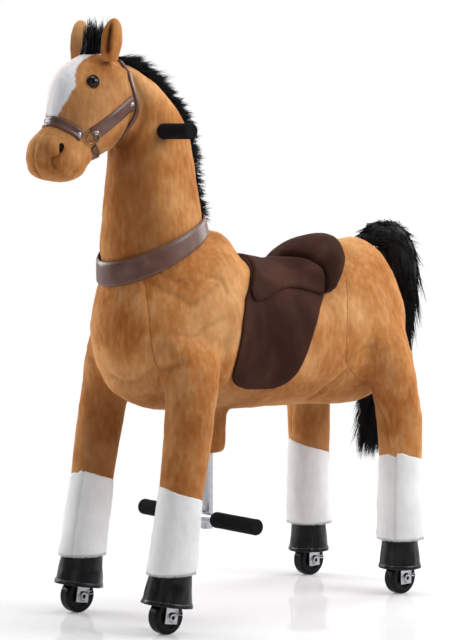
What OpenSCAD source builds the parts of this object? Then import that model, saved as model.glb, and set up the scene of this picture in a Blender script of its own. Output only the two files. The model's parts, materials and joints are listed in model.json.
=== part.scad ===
// Ride-on plush horse on wheels: two hinged steel half frames inside a stuffed body.
// +X is forward, +Y is the horse's left, +Z is up. The origin is on the floor under the middle.

/* [Wheels] */
// Distance between the front and rear axles
wheelbase = 552; // [480:1:640]
// Place of the front axle ahead of the origin
front_axle_x = 262; // [220:1:300]
// Distance between the left and right wheels
track = 246; // [220:1:280]
// Outer diameter of a tyre
wheel_d = 60; // [52:1:68]
// Width of a tyre
wheel_w = 24; // [18:1:28]
// Thickness of the tread on the wheel core
tread_t = 7; // [4:0.5:10]
// Diameter of an axle bolt
axle_d = 8; // [6:0.5:10]

/* [Forks and hooves] */
// Thickness of a fork plate
fork_t = 3; // [2:0.5:5]
// Width of a fork plate
fork_w = 26; // [20:1:30]
// Height of a fork's top plate above the axle
fork_h = 46; // [42:1:52]
// How far a fork plate reaches below the axle
fork_drop = 11; // [8:1:14]
// Diameter of a front hoof at its open bottom
hoof_bottom_d = 88; // [82:1:96]
// Diameter of a front hoof at its top
hoof_top_d = 72; // [66:1:78]
// Diameter of a rear hoof at its open bottom
rear_hoof_bottom_d = 78; // [72:1:96]
// Diameter of a rear hoof at its top
rear_hoof_top_d = 64; // [60:1:78]
// Height of a hoof
hoof_h = 54; // [50:1:60]
// Height of the hoof's open bottom above the axle
hoof_lift = 18; // [12:1:24]
// Wall of a hoof
hoof_wall = 4; // [3:0.5:6]

/* [Frame] */
// Outer diameter of the leg tubes and crossbars
tube_d = 22; // [20:0.5:26]
// Wall of the leg tubes
tube_wall = 2; // [1.5:0.25:3]
// Diameter of the two beams that meet at the hinge
beam_d = 28; // [24:1:34]
// Lean of the front legs
front_rake = 9.5; // [6:0.5:12]
// Height of the front crossbar along the leaning leg
front_bar_s = 400; // [380:1:420]
// Height of the rear crossbar
rear_bar_s = 410; // [390:1:430]
// Place of the hinge along the body
hinge_x = 20; // [10:1:24]
// Height of the hinge
hinge_z = 540; // [520:1:560]
// Diameter of the hinge pin
hinge_pin_d = 16; // [12:0.5:20]
// Length of the hinge sleeve
hinge_sleeve_l = 50; // [40:1:60]
// Outer diameter of the hinge sleeve
hinge_sleeve_d = 32; // [28:1:38]
// Largest angle that the two halves spread to
spread_deg = 10; // [6:1:12]

/* [Pedals] */
// Place of the pedal post along the body
post_x = 68; // [64:1:76]
// Height of the pedal bar
pedal_z = 165; // [140:1:200]
// Length of the pedal bar
pedal_bar_l = 304; // [270:1:330]
// Diameter of the pedal bar and of the handlebar
bar_d = 18; // [16:0.5:20]
// Outer diameter of the foam on the pedals
pedal_foam_d = 28; // [25:0.5:32]
// Length of the foam on a pedal
pedal_foam_l = 112; // [90:1:120]

/* [Steering] */
// Height of the seam between neck and chest, at its middle
seam_z = 621; // [600:1:640]
// Place of that seam along the body
seam_x = 187; // [175:1:200]
// Forward lean of the steering axis
steer_tilt = 24; // [18:1:28]
// Diameter of the steering column
column_d = 24; // [20:1:26]
// Place of the handlebar along the body
handle_x = 208; // [200:1:236]
// Height of the handlebar
handle_z = 840; // [825:1:850]
// Length of the handlebar
handle_l = 250; // [240:1:330]
// Outer diameter of the foam grips
grip_d = 27; // [24:0.5:31]
// Length of a foam grip
grip_l = 70; // [64:1:105]

/* [Trunk] */
// Length of the trunk from chest to rump
trunk_l = 667; // [620:1:700]
// Place of the rump's end along the body
rump_x = -374; // [-400:1:-350]
// Height of the belly above the floor
belly_z = 350; // [335:1:360]
// Height of the trunk from belly to croup
trunk_h = 298; // [275:1:315]
// Width of the trunk
trunk_w = 250; // [235:1:265]
// Depth of the neck at the seam
neck_base_depth = 216; // [200:1:230]

/* [Neck and head] */
// Width of the neck at the seam
neck_w = 168; // [150:1:180]
// Depth of the space that the neck's outline fills
neck_depth = 200; // [190:1:215]
// Place of the neck's rearmost point
neck_back_x = 88; // [80:1:96]
// Height of the neck from its low front edge
neck_h = 388; // [370:1:400]
// Height of the neck's low front edge
neck_base_z = 577; // [560:1:590]
// Length of the head from cheek to nose
head_l = 191; // [175:1:205]
// Place of the cheek's rearmost point
head_back_x = 250; // [240:1:260]
// Height of the head from chin to poll
head_h = 219; // [205:1:235]
// Height of the chin above the floor
chin_z = 755; // [740:1:770]
// Width of the head
head_w = 110; // [100:1:120]
// Height of an ear
ear_h = 72; // [60:1:85]
// Width of an ear
ear_w = 38; // [30:1:46]
// Distance between the middles of the ears
ear_gap = 84; // [76:1:92]
// Diameter of an eye
eye_d = 21; // [18:0.5:25]
// Thickness of the mane from side to side
mane_w = 26; // [18:1:34]
// Length of the tail from its top to its tip
tail_h = 440; // [400:1:460]
// Distance of the tail's back from the rump's end
tail_reach = 66; // [55:1:80]

/* [Legs] */
// Diameter of a front leg at its white sock
sock_d = 76; // [70:1:84]
// Diameter of a rear leg at its white sock
rear_sock_d = 78; // [70:1:86]
// Diameter of a leg at its top
thigh_d = 112; // [100:1:120]
// Length of the soft leg above the hoof
leg_l = 400; // [380:1:420]
// How far the top of a rear leg sits forward of its hoof
haunch = 34; // [0:1:50]

/* [Saddle and straps] */
// Thickness of the saddle's lower layer
pad_t = 5; // [3:0.5:8]
// Thickness of the seat at its crown
seat_t = 10; // [8:0.5:18]
// Thickness of the raised roll behind the seat
cantle_t = 29; // [16:1:34]
// Thickness of the straps
strap_t = 3.5; // [2:0.5:5]
// Diameter of the bridle rings
ring_d = 22; // [18:1:26]

/* [Hidden] */
$fn = 48;
// Gap between fixed soft pieces and what they enclose
clear = 0.3;
// Gap under a layer whose facets cross those of the form that it lies on
layer_gap = 0.9;
// Gap between pieces that turn against each other on a flat face
turn_gap = 0.6;
// Radial clearance of a running fit
run_fit = 0.05;
// How far every cut runs past the face that it opens
over = 2;
// Size of the blocks that cut the body at a plane
block = 900;

axle_z = wheel_d / 2;
rear_axle_x = front_axle_x - wheelbase;
leg_y = track / 2;
tube_bore = tube_d - 2 * tube_wall;
post_bar_x = post_x + tube_d / 2 + bar_d / 2 - tube_wall;

// Places on the raked leg axis, at a distance from the axle
function leg_x(axle_x, rake, s) = axle_x - s * sin(rake);
function leg_z(rake, s) = axle_z + s * cos(rake);
front_bar = [leg_x(front_axle_x, front_rake, front_bar_s), leg_z(front_rake, front_bar_s)];
rear_bar = [rear_axle_x, leg_z(0, rear_bar_s)];

// Steering axis, upward and forward from the seam
steer_dir = [sin(steer_tilt), 0, cos(steer_tilt)];
function on_axis(t) = [seam_x, 0, seam_z] + t * steer_dir;
head_tube_wall = 5;
head_tube_d = column_d + 2 * head_tube_wall;
head_tube_low = -152;
head_tube_top = -40;
column_low = -124;
column_top = 186;
collar_h = 6;

// Smooth value between the rows of a table
function blend_rows(p, q, r, s, t) =
    (2 * q + (r - p) * t + (2 * p - 5 * q + 4 * r - s) * t * t + (3 * q - p - 3 * r + s) * t * t * t) / 2;
function row_at(table, u) =
    let (last = len(table) - 1,
         i = max(0, min(floor(u), last - 1)))
    blend_rows(table[max(i - 1, 0)], table[i], table[i + 1], table[min(i + 2, last)], u - i);

// A row is [x, z] of one edge, [x, z] of the other edge, half width, and the middle's y
function ring_point(row, angle, out) =
    let (d = [row[0] - row[2], row[1] - row[3]] / 2,
         depth = norm(d),
         reach = cos(angle) * (depth + out) / depth)
    [(row[0] + row[2]) / 2 + d[0] * reach,
     row[5] + sin(angle) * (row[4] + out),
     (row[1] + row[3]) / 2 + d[1] * reach];
function row_middle(row) = [(row[0] + row[2]) / 2, row[5], (row[1] + row[3]) / 2];

// Rows run either way round, so the faces of a form are turned to look outwards
function row_turn(table) =
    let (d = [table[0][0] - table[0][2], table[0][1] - table[0][3]],
         s = row_middle(table[1]) - row_middle(table[0]))
    d[0] * s[2] - d[1] * s[0];
function reversed(face) = [for (i = [len(face) - 1:-1:0]) face[i]];
function turned(faces, turn) = turn ? [for (f = faces) reversed(f)] : faces;

// Rings per row and points per ring on the stuffed forms
form_steps = 2;
form_sides = 24;
limb_sides = 16;
tuft_sides = 12;

// Stuffed form through the rows of a table, closed at both ends
module loft(table, steps, sides) {
    last = len(table) - 1;
    count = last * steps;
    rings = [for (i = [0:count]) row_at(table, i / steps)];
    points = [
        for (row = rings) for (k = [0:sides - 1]) ring_point(row, 360 * k / sides, 0),
        row_middle(rings[0]),
        row_middle(rings[count])
    ];
    low_cap = (count + 1) * sides;
    faces = [
        for (i = [0:count - 1]) for (k = [0:sides - 1])
            let (a = i * sides + k, b = i * sides + (k + 1) % sides)
            each [[a, b, b + sides], [a, b + sides, a + sides]],
        for (k = [0:sides - 1]) [low_cap, (k + 1) % sides, k],
        for (k = [0:sides - 1]) let (a = count * sides) [low_cap + 1, a + k, a + (k + 1) % sides]
    ];
    polyhedron(points, turned(faces, row_turn(table) > 0));
}

// Crown of a padded patch: thin at its edge, full in its middle
crown_share = 0.4;
function crown(s, t, edge_share) =
    edge_share + (1 - edge_share) * pow(max(0, sin(180 * s)) * max(0, sin(180 * t)), crown_share);

// Padded patch that lies on a stuffed form. A control row is [angle, first u, last u, lift].
module patch(table, control, rows, columns, lift, thick, edge_share) {
    across = columns + 1;
    side = (rows + 1) * across;
    grid = [for (r = [0:rows]) for (k = [0:columns])
        let (c = row_at(control, r * (len(control) - 1) / rows),
             u = c[1] + (c[2] - c[1]) * k / columns,
             low = lift + c[3] * (1 - k / columns) * (1 - k / columns))
        [row_at(table, u), c[0], low, low + thick * crown(k / columns, r / rows, edge_share)]];
    points = [
        for (g = grid) ring_point(g[0], g[1], g[2]),
        for (g = grid) ring_point(g[0], g[1], g[3])
    ];
    edge = [
        for (k = [0:columns]) k,
        for (r = [1:rows]) r * across + columns,
        for (k = [1:columns]) rows * across + columns - k,
        for (r = [1:rows - 1]) (rows - r) * across
    ];
    faces = [
        for (r = [0:rows - 1]) for (k = [0:columns - 1])
            let (a = r * across + k, b = a + across)
            each [[a, b, b + 1], [a, b + 1, a + 1],
                  [side + a, side + b + 1, side + b], [side + a, side + a + 1, side + b + 1]],
        for (i = [0:len(edge) - 1])
            let (a = edge[i], b = edge[(i + 1) % len(edge)])
            each [[a, b, side + b], [a, side + b, side + a]]
    ];
    polyhedron(points, turned(faces, row_turn(table) < 0));
}

// Strap that goes all the way round a stuffed form, between two rows
module band(table, first, last, sides, lift, thick) {
    corners = [[first, lift], [last, lift], [last, lift + thick], [first, lift + thick]];
    points = [for (k = [0:sides - 1]) for (c = corners)
        ring_point(row_at(table, c[0]), 360 * k / sides, c[1])];
    n = sides * 4;
    faces = [for (k = [0:sides - 1]) for (c = [0:3])
        let (a = k * 4 + c,
             b = k * 4 + (c + 1) % 4,
             d = (a + 4) % n,
             e = (b + 4) % n)
        each [[a, e, b], [a, d, e]]];
    polyhedron(points, turned(faces, row_turn(table) < 0));
}

// Rows of the stuffed forms, as shares of the sizes that they follow
// The last share of a trunk row says how far its top follows the seam's back edge
withers_h = seam_z + sin(steer_tilt) * neck_base_depth / 2 - belly_z;
function trunk_row(s) = [rump_x + s[0] * trunk_l, belly_z + s[1] * (trunk_h + s[5] * (withers_h - trunk_h)),
    rump_x + s[2] * trunk_l, belly_z + s[3] * trunk_h, s[4] * trunk_w / 2, 0];
seam_row = [seam_x - cos(steer_tilt) * neck_base_depth / 2, seam_z + sin(steer_tilt) * neck_base_depth / 2,
    seam_x + cos(steer_tilt) * neck_base_depth / 2, seam_z - sin(steer_tilt) * neck_base_depth / 2,
    neck_w / 2, 0];
trunk_shares = [
    [0.678, 1.006, 1.004, 0.560, 0.82, 1.0],
    [0.660, 1.018, 0.994, 0.345, 0.96, 1.0],
    [0.636, 1.008, 0.955, 0.160, 1.04, 0.7],
    [0.606, 0.930, 0.860, 0.050, 1.04, 0.4],
    [0.565, 0.880, 0.740, 0.016, 1.00, 0.2],
    [0.515, 0.855, 0.590, 0.004, 0.98, 0.0],
    [0.455, 0.838, 0.455, 0.000, 0.98, 0.0],
    [0.365, 0.880, 0.350, -0.004, 0.98, 0.0],
    [0.275, 0.933, 0.260, -0.018, 1.00, 0.0],
    [0.190, 0.985, 0.165, -0.024, 0.97, 0.0],
    [0.135, 1.000, 0.085, 0.020, 0.88, 0.0],
    [0.095, 0.960, 0.025, 0.120, 0.70, 0.0],
    [0.056, 0.870, 0.002, 0.250, 0.50, 0.0],
    [0.022, 0.730, 0.000, 0.420, 0.24, 0.0]
];
trunk_rows = [seam_row, for (s = trunk_shares) trunk_row(s)];

function neck_row(s) = [neck_back_x + s[0] * neck_depth, neck_base_z + s[1] * neck_h,
    neck_back_x + s[2] * neck_depth, neck_base_z + s[3] * neck_h, s[4] * neck_w / 2, 0];
neck_shares = [
    [0.045, 0.320, 0.995, 0.165, 0.90],
    [0.075, 0.410, 0.970, 0.360, 0.80],
    [0.115, 0.550, 0.940, 0.525, 0.72],
    [0.170, 0.680, 0.930, 0.630, 0.66],
    [0.300, 0.785, 0.985, 0.730, 0.61],
    [0.485, 0.873, 1.080, 0.830, 0.57],
    [0.720, 0.945, 1.140, 0.905, 0.48],
    [0.910, 0.985, 1.170, 0.945, 0.32]
];
lift_row = turn_gap * [steer_dir[0], steer_dir[2], steer_dir[0], steer_dir[2], 0, 0];
neck_rows = [seam_row + lift_row, for (s = neck_shares) neck_row(s)];

function head_row(s) = [head_back_x + s[0] * head_l, chin_z + s[1] * head_h,
    head_back_x + s[2] * head_l, chin_z + s[3] * head_h, s[4] * head_w / 2, 0];
head_shares = [
    [0.270, 0.995, 0.090, 0.830, 0.40],
    [0.480, 0.965, 0.010, 0.640, 0.83],
    [0.665, 0.865, 0.020, 0.490, 0.98],
    [0.760, 0.735, 0.110, 0.350, 1.00],
    [0.795, 0.575, 0.245, 0.245, 0.91],
    [0.815, 0.460, 0.380, 0.170, 0.80],
    [0.880, 0.395, 0.475, 0.105, 0.83],
    [0.960, 0.305, 0.570, 0.040, 0.90],
    [0.998, 0.205, 0.675, 0.000, 0.87],
    [0.975, 0.110, 0.790, 0.008, 0.64],
    [0.925, 0.055, 0.860, 0.025, 0.25]
];
head_rows = [for (s = head_shares) head_row(s)];

// Ear: upright, wide at a third of its height and pointed at its tip
ear_base = [head_back_x + head_l / 3, chin_z + head_h - ear_w / 2];
ear_shares = [
    [0.00, 0.36, 0.50], [0.30, 0.50, 0.62], [0.60, 0.50, 0.60], [0.86, 0.35, 0.44], [1.00, 0.10, 0.14]
];
ear_lean_share = 0.10;
function ear_row(s, side) =
    let (z = ear_base[1] + s[0] * ear_h, x = ear_base[0] - ear_lean_share * s[0] * ear_h)
    [x + s[1] * ear_w, z, x - s[1] * ear_w, z, s[2] * ear_w / 2, side * ear_gap / 2];

// Mane: along the neck's back edge, standing out of it by these shares of its width
mane_out_shares = [0.45, 0.75, 0.75, 0.70, 0.85, 1.10, 1.25, 1.20, 0.85];
mane_first_share = 0.80;
function mane_row(i) =
    let (u = i == 0 ? mane_first_share : i,
         row = row_at(neck_rows, u),
         d = [row[0] - row[2], row[1] - row[3]],
         n = d / norm(d))
    [row[0] + n[0] * mane_out_shares[i] * mane_w, row[1] + n[1] * mane_out_shares[i] * mane_w,
     row[0] - n[0] * mane_w / 2, row[1] - n[1] * mane_w / 2, mane_w / 2, 0];
mane_rows = [for (i = [0:len(mane_out_shares) - 1]) mane_row(i)];

// Forelock: a tuft that stands between the ears
forelock_shares = [
    [-0.10, 0.70, 0.30], [0.10, 0.95, 0.46], [0.40, 0.90, 0.44], [0.70, 0.62, 0.32], [0.94, 0.20, 0.10]
];
forelock_rows = [for (s = forelock_shares)
    let (z = ear_base[1] + s[0] * ear_h)
    [ear_base[0] + s[1] * mane_w, z, ear_base[0] - s[1] * mane_w, z, s[2] * mane_w, 0]];

// Tail: from the croup out over the rump, then down to a tip on the far side
tail_top_share = 1.11;
tail_top_z = belly_z + trunk_h * tail_top_share;
tail_shares = [
    [1.05, 0.092, 0.18, 0.05], [0.50, 0.066, 0.34, 0.08], [-0.06, 0.090, 0.52, 0.10],
    [-0.34, 0.215, 0.64, 0.08], [-0.40, 0.400, 0.60, -0.08], [-0.36, 0.600, 0.46, -0.45],
    [-0.25, 0.800, 0.28, -0.74], [-0.12, 0.970, 0.06, -0.84]
];
tail_leans = [30, 4, -40, -76, -88, -88, -86, -86];
tail_rows = [for (i = [0:len(tail_shares) - 1])
    let (s = tail_shares[i],
         x = rump_x + s[0] * tail_reach,
         z = tail_top_z - s[1] * tail_h,
         r = s[2] * tail_reach,
         a = tail_leans[i])
    [x + r * sin(a), z + r * cos(a), x - r * sin(a), z - r * cos(a), r, s[3] * tail_reach]];

// Leg outline: shares of the leg's length, the sock's diameter and the thigh's diameter,
// then its width against its depth, its inset against the track, and its place on the haunch
leg_shares = [
    [0.000, 0.86, 0.00, 1.00, 0.00, 0.00], [0.030, 1.00, 0.00, 1.00, 0.00, 0.00],
    [0.200, 1.02, 0.00, 1.00, 0.00, 0.00], [0.360, 1.05, 0.00, 1.00, 0.00, 0.00],
    [0.400, 1.05, 0.00, 1.00, 0.00, 0.00], [0.560, 0.68, 0.28, 1.00, 0.01, 0.10],
    [0.730, 0.30, 0.58, 1.00, 0.05, 0.45], [0.860, 0.00, 0.98, 0.88, 0.14, 0.80],
    [0.960, 0.00, 1.08, 0.72, 0.25, 0.95], [1.060, 0.00, 1.00, 0.54, 0.36, 1.00],
    [1.130, 0.00, 0.66, 0.36, 0.46, 1.00]
];

// Colours
plush = "#b5712f";
white_plush = "#efece6";
dark_hair = "#141414";
suede = "#3a241d";
strap_brown = "#6b4436";
steel = "#9da1a6";
black = "#1d1d1f";

// Whole stuffed forms, which the pieces around them are cut by
module trunk_form() {
    loft(trunk_rows, form_steps, form_sides);
}
module neck_form() {
    loft(neck_rows, form_steps, form_sides);
}
module head_form() {
    loft(head_rows, form_steps, form_sides);
}
module mane_form() {
    loft(mane_rows, form_steps, tuft_sides);
}

// Placements
module at_front_leg(side) {
    translate([front_axle_x, side * leg_y, axle_z]) rotate([0, -front_rake, 0]) children();
}
module at_rear_leg(side) {
    translate([rear_axle_x, side * leg_y, axle_z]) children();
}
module at_steer(t) {
    translate(on_axis(t)) rotate([0, steer_tilt, 0]) children();
}
module along_y(x, z, length, d) {
    translate([x, length / 2, z]) rotate([90, 0, 0]) cylinder(d = d, h = length);
}
// Round bar between two points of the middle plane
module bar_between(a, b, d) {
    v = b - a;
    translate([a[0], 0, a[1]]) rotate([0, atan2(v[0], v[1]), 0]) cylinder(d = d, h = norm(v));
}

// Wheels
module wheel_core() {
    rotate([90, 0, 0]) difference() {
        union() {
            cylinder(d = wheel_d - 2 * tread_t, h = wheel_w, center = true);
            cylinder(d = axle_d * 2, h = wheel_w + fork_t / 2, center = true);
        }
        cylinder(d = axle_d + 2 * run_fit, h = wheel_w * 2, center = true);
        for (face = [-1, 1])
            translate([0, 0, face * wheel_w / 2]) difference() {
                cylinder(d = wheel_d - 3.2 * tread_t, h = wheel_w / 4, center = true);
                cylinder(d = axle_d * 2, h = wheel_w, center = true);
            }
    }
}
module tyre_ring() {
    round_r = tread_t * 0.7;
    outer = wheel_d / 2 - round_r;
    half = wheel_w / 2 - round_r;
    rotate([90, 0, 0]) rotate_extrude() difference() {
        union() {
            translate([wheel_d / 2 - tread_t, -wheel_w / 2]) square([tread_t - round_r, wheel_w]);
            translate([outer - round_r, -half]) square([2 * round_r, 2 * half]);
            for (face = [-1, 1]) translate([outer, face * half]) circle(r = round_r);
        }
        translate([0, -wheel_w]) square([wheel_d / 2 - tread_t, 2 * wheel_w]);
    }
}
module core(place_front, side) {
    color(black) {
        if (place_front) at_front_leg(side) wheel_core();
        else at_rear_leg(side) wheel_core();
    }
}
module tyre(place_front, side) {
    color(black) {
        if (place_front) at_front_leg(side) tyre_ring();
        else at_rear_leg(side) tyre_ring();
    }
}

// Fork with its stem, about the axle
fork_gap = wheel_w + fork_t;
tube_low = fork_h + 4 * fork_t;
stem_l = 3.5 * tube_d;
module fork_shape() {
    difference() {
        union() {
            for (side = [-1, 1])
                translate([-fork_w / 2, side * (fork_gap + fork_t) / 2 - fork_t / 2, -fork_drop])
                    cube([fork_w, fork_t, fork_h + fork_drop]);
            translate([-fork_w / 2, -fork_gap / 2 - fork_t, fork_h - fork_t])
                cube([fork_w, fork_gap + 2 * fork_t, fork_t]);
            cylinder(d = tube_d, h = tube_low - clear);
            cylinder(d = tube_bore - 2 * run_fit, h = tube_low + stem_l);
        }
        translate([-fork_w, -fork_gap / 2, -fork_w]) cube([2 * fork_w, fork_gap, fork_w + fork_h - fork_t]);
        rotate([90, 0, 0]) cylinder(d = axle_d + 2 * run_fit, h = 4 * wheel_w, center = true);
    }
}
module axle_bolt() {
    half = fork_gap / 2 + fork_t;
    rotate([90, 0, 0]) {
        cylinder(d = axle_d, h = 2 * half + fork_t, center = true);
        for (face = [-1, 1]) translate([0, 0, face * (half + axle_d / 4)])
            cylinder(d = axle_d * 1.8, h = axle_d / 2, center = true, $fn = 6);
    }
}
module fork(front, side) {
    color(steel) {
        if (front) at_front_leg(side) fork_shape();
        else at_rear_leg(side) fork_shape();
    }
}

// Hoof: a stiff open cup with a hole for the leg tube in its thick top
module hoof_shape(bottom_d, top_d) {
    top = hoof_lift + hoof_h;
    lip = hoof_wall * 1.5;
    difference() {
        rotate_extrude() polygon([
            [0, hoof_lift], [bottom_d / 2, hoof_lift], [bottom_d / 2, hoof_lift + lip],
            [bottom_d / 2 - lip / 2, hoof_lift + 2 * lip], [top_d / 2, top - lip / 2],
            [top_d / 2 - lip / 2, top], [0, top]
        ]);
        translate([0, 0, hoof_lift - over])
            cylinder(d = top_d - hoof_wall / 2, h = tube_low - hoof_lift - fork_t + over);
        cylinder(d = tube_d + 2 * clear, h = top + over);
    }
}
module hoof(front, side) {
    color(black) {
        if (front) at_front_leg(side) hoof_shape(hoof_bottom_d, hoof_top_d);
        else at_rear_leg(side) hoof_shape(rear_hoof_bottom_d, rear_hoof_top_d);
    }
}

// Legs
leg_base = hoof_lift + hoof_h;
function leg_row(s, axle_x, rake, side, haunch, ankle_d) =
    let (r = s[1] * ankle_d / 2 + s[2] * thigh_d / 2,
         x = leg_x(axle_x, rake, leg_base + s[0] * leg_l) + s[5] * haunch,
         z = leg_z(rake, leg_base + s[0] * leg_l))
    [x + r * cos(rake), z + r * sin(rake), x - r * cos(rake), z - r * sin(rake), r * s[3],
     side * leg_y * (1 - s[4])];
function leg_rows(axle_x, rake, side, haunch, ankle_d) =
    [for (s = leg_shares) leg_row(s, axle_x, rake, side, haunch, ankle_d)];
module front_leg(side) {
    color(plush) difference() {
        loft(leg_rows(front_axle_x, front_rake, side, 0, sock_d), 1, limb_sides);
        trunk_form();
        front_leg_channel(side);
        front_bar_channel();
    }
}
module rear_leg(side) {
    color(plush) difference() {
        loft(leg_rows(rear_axle_x, 0, side, haunch, rear_sock_d), 1, limb_sides);
        trunk_form();
        rear_leg_channel(side);
        rear_bar_channel();
    }
}
module front_leg_channel(side) {
    at_front_leg(side) cylinder(d = tube_d + 2 * clear, h = front_bar_s);
}
module rear_leg_channel(side) {
    at_rear_leg(side) cylinder(d = tube_d + 2 * clear, h = rear_bar_s);
}
module front_bar_channel() {
    along_y(front_bar[0], front_bar[1], track + 2 * clear + tube_d, tube_d + 2 * clear);
}
module rear_bar_channel() {
    along_y(rear_bar[0], rear_bar[1], track + 2 * clear + tube_d, tube_d + 2 * clear);
}

// Frame tubes
module leg_tube(bar_s) {
    difference() {
        translate([0, 0, tube_low]) cylinder(d = tube_d, h = bar_s - tube_low);
        translate([0, 0, tube_low - over]) cylinder(d = tube_bore, h = stem_l + 2 * tube_d);
        translate([0, 0, bar_s]) rotate([90, 0, 0]) cylinder(d = tube_d, h = 2 * tube_d, center = true);
    }
}
module front_leg_tube(side) {
    color(steel) at_front_leg(side) leg_tube(front_bar_s);
}
module rear_leg_tube(side) {
    color(steel) at_rear_leg(side) leg_tube(rear_bar_s);
}
module front_crossbar() {
    color(steel) along_y(front_bar[0], front_bar[1], track + tube_d, tube_d);
}
module rear_crossbar() {
    color(steel) along_y(rear_bar[0], rear_bar[1], track + tube_d, tube_d);
}
hinge = [hinge_x, hinge_z];
module front_beam() {
    color(steel) difference() {
        union() {
            bar_between(front_bar, hinge, beam_d);
            along_y(hinge_x, hinge_z, hinge_sleeve_l, hinge_sleeve_d);
        }
        along_y(front_bar[0], front_bar[1], track, tube_d);
        along_y(hinge_x, hinge_z, hinge_sleeve_l * 2, hinge_pin_d + 2 * run_fit);
    }
}
// Rear beam with the two cheeks that hold the hinge pin
cheek_t = 6;
cheek_w = 30;
yoke_back = 46;
rear_dir = (hinge - rear_bar) / norm(hinge - rear_bar);
module rear_beam() {
    yoke = hinge - yoke_back * rear_dir;
    inner = hinge_sleeve_l + turn_gap;
    color(steel) difference() {
        union() {
            bar_between(rear_bar, yoke, beam_d);
            translate([hinge_x, 0, hinge_z]) rotate([0, -atan2(rear_dir[1], rear_dir[0]), 0]) {
                for (side = [-1, 1]) translate([0, side * (inner + cheek_t) / 2, 0]) {
                    rotate([90, 0, 0]) cylinder(d = cheek_w, h = cheek_t, center = true);
                    translate([-yoke_back, -cheek_t / 2, -cheek_w / 2]) cube([yoke_back, cheek_t, cheek_w]);
                }
                translate([-yoke_back - cheek_t, -inner / 2 - cheek_t, -cheek_w / 2])
                    cube([cheek_t, inner + 2 * cheek_t, cheek_w]);
            }
        }
        along_y(rear_bar[0], rear_bar[1], track, tube_d);
        along_y(hinge_x, hinge_z, hinge_sleeve_l * 2, hinge_pin_d + 2 * run_fit);
    }
}
module hinge_pin() {
    half = hinge_sleeve_l / 2 + turn_gap / 2 + cheek_t;
    head_t = hinge_pin_d / 3;
    color(steel) {
        along_y(hinge_x, hinge_z, 2 * half + head_t, hinge_pin_d);
        for (side = [-1, 1]) translate([hinge_x, side * (half + head_t / 2), hinge_z])
            rotate([90, 0, 0]) cylinder(d = hinge_pin_d * 1.6, h = head_t, center = true, $fn = 6);
    }
}
module steering_head() {
    color(steel) difference() {
        at_steer(head_tube_low) cylinder(d = head_tube_d, h = head_tube_top - head_tube_low);
        at_steer(column_low - clear)
            cylinder(d = column_d + 2 * run_fit, h = head_tube_top - column_low + over);
        bar_between(front_bar, hinge, beam_d);
    }
}

// Pedals
post_low = pedal_z - tube_d;
post_top = hinge_z;
module pedal_post() {
    lug_t = cheek_t;
    color(steel) difference() {
        union() {
            translate([post_x, 0, post_low]) cylinder(d = tube_d, h = post_top - post_low);
            translate([post_x - tube_d, -lug_t / 2, spring_z - tube_d / 2]) cube([tube_d, lug_t, tube_d]);
        }
        bar_between(front_bar + (front_bar - hinge), hinge, beam_d);
        translate([post_x, 0, front_bar[1] + (post_x - front_bar[0]) / (hinge_x - front_bar[0])
            * (hinge_z - front_bar[1])]) cylinder(d = 2 * tube_d, h = block);
        along_y(post_bar_x, pedal_z, pedal_bar_l, bar_d);
    }
}
module pedal_bar() {
    color(steel) along_y(post_bar_x, pedal_z, pedal_bar_l, bar_d);
}
// Foam sleeve on the end of a bar, closed at its outer end
module foam_shape(length, d) {
    cap = (d - bar_d) / 3;
    bore = bar_d / 2 + clear;
    rotate([-90, 0, 0]) rotate_extrude() polygon([
        [bore, 0], [d / 2 - cap, 0], [d / 2, cap], [d / 2, length - cap], [d / 2 - cap, length],
        [0, length], [0, length - cap], [bore, length - cap]
    ]);
}
module pedal_foam(side) {
    cap = (pedal_foam_d - bar_d) / 3;
    color(black) translate([post_bar_x, 0, pedal_z]) mirror([0, side < 0 ? 1 : 0, 0])
        translate([0, pedal_bar_l / 2 + cap + clear - pedal_foam_l, 0])
            foam_shape(pedal_foam_l, pedal_foam_d);
}
// Plush sleeve over the top of the post: shares of its height and of its top diameter
sleeve_h = 92;
sleeve_d = 86;
sleeve_drop_share = 0.75;
sleeve_shares = [[-0.03, 0.62], [0.04, 0.78], [0.50, 0.86], [0.95, 0.97], [1.25, 1.00]];
sleeve_rows = [for (s = sleeve_shares)
    let (z = belly_z + (s[0] - sleeve_drop_share) * sleeve_h, r = s[1] * sleeve_d / 2)
    [post_x + r, z, post_x - r, z, r, 0]];
module post_sleeve() {
    color(plush) difference() {
        loft(sleeve_rows, 1, limb_sides);
        trunk_form();
        translate([post_x, 0, 0]) cylinder(d = tube_d + 2 * clear, h = hinge_z);
    }
}

// Trunk, in two halves that part at a plane through the hinge
chamber_w = hinge_sleeve_l + 2 * turn_gap + 4 * cheek_t;
chamber_low_share = 0.19;
chamber_low = belly_z + trunk_h * chamber_low_share;
chamber_top = hinge_z + 1.6 * hinge_sleeve_d;
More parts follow.
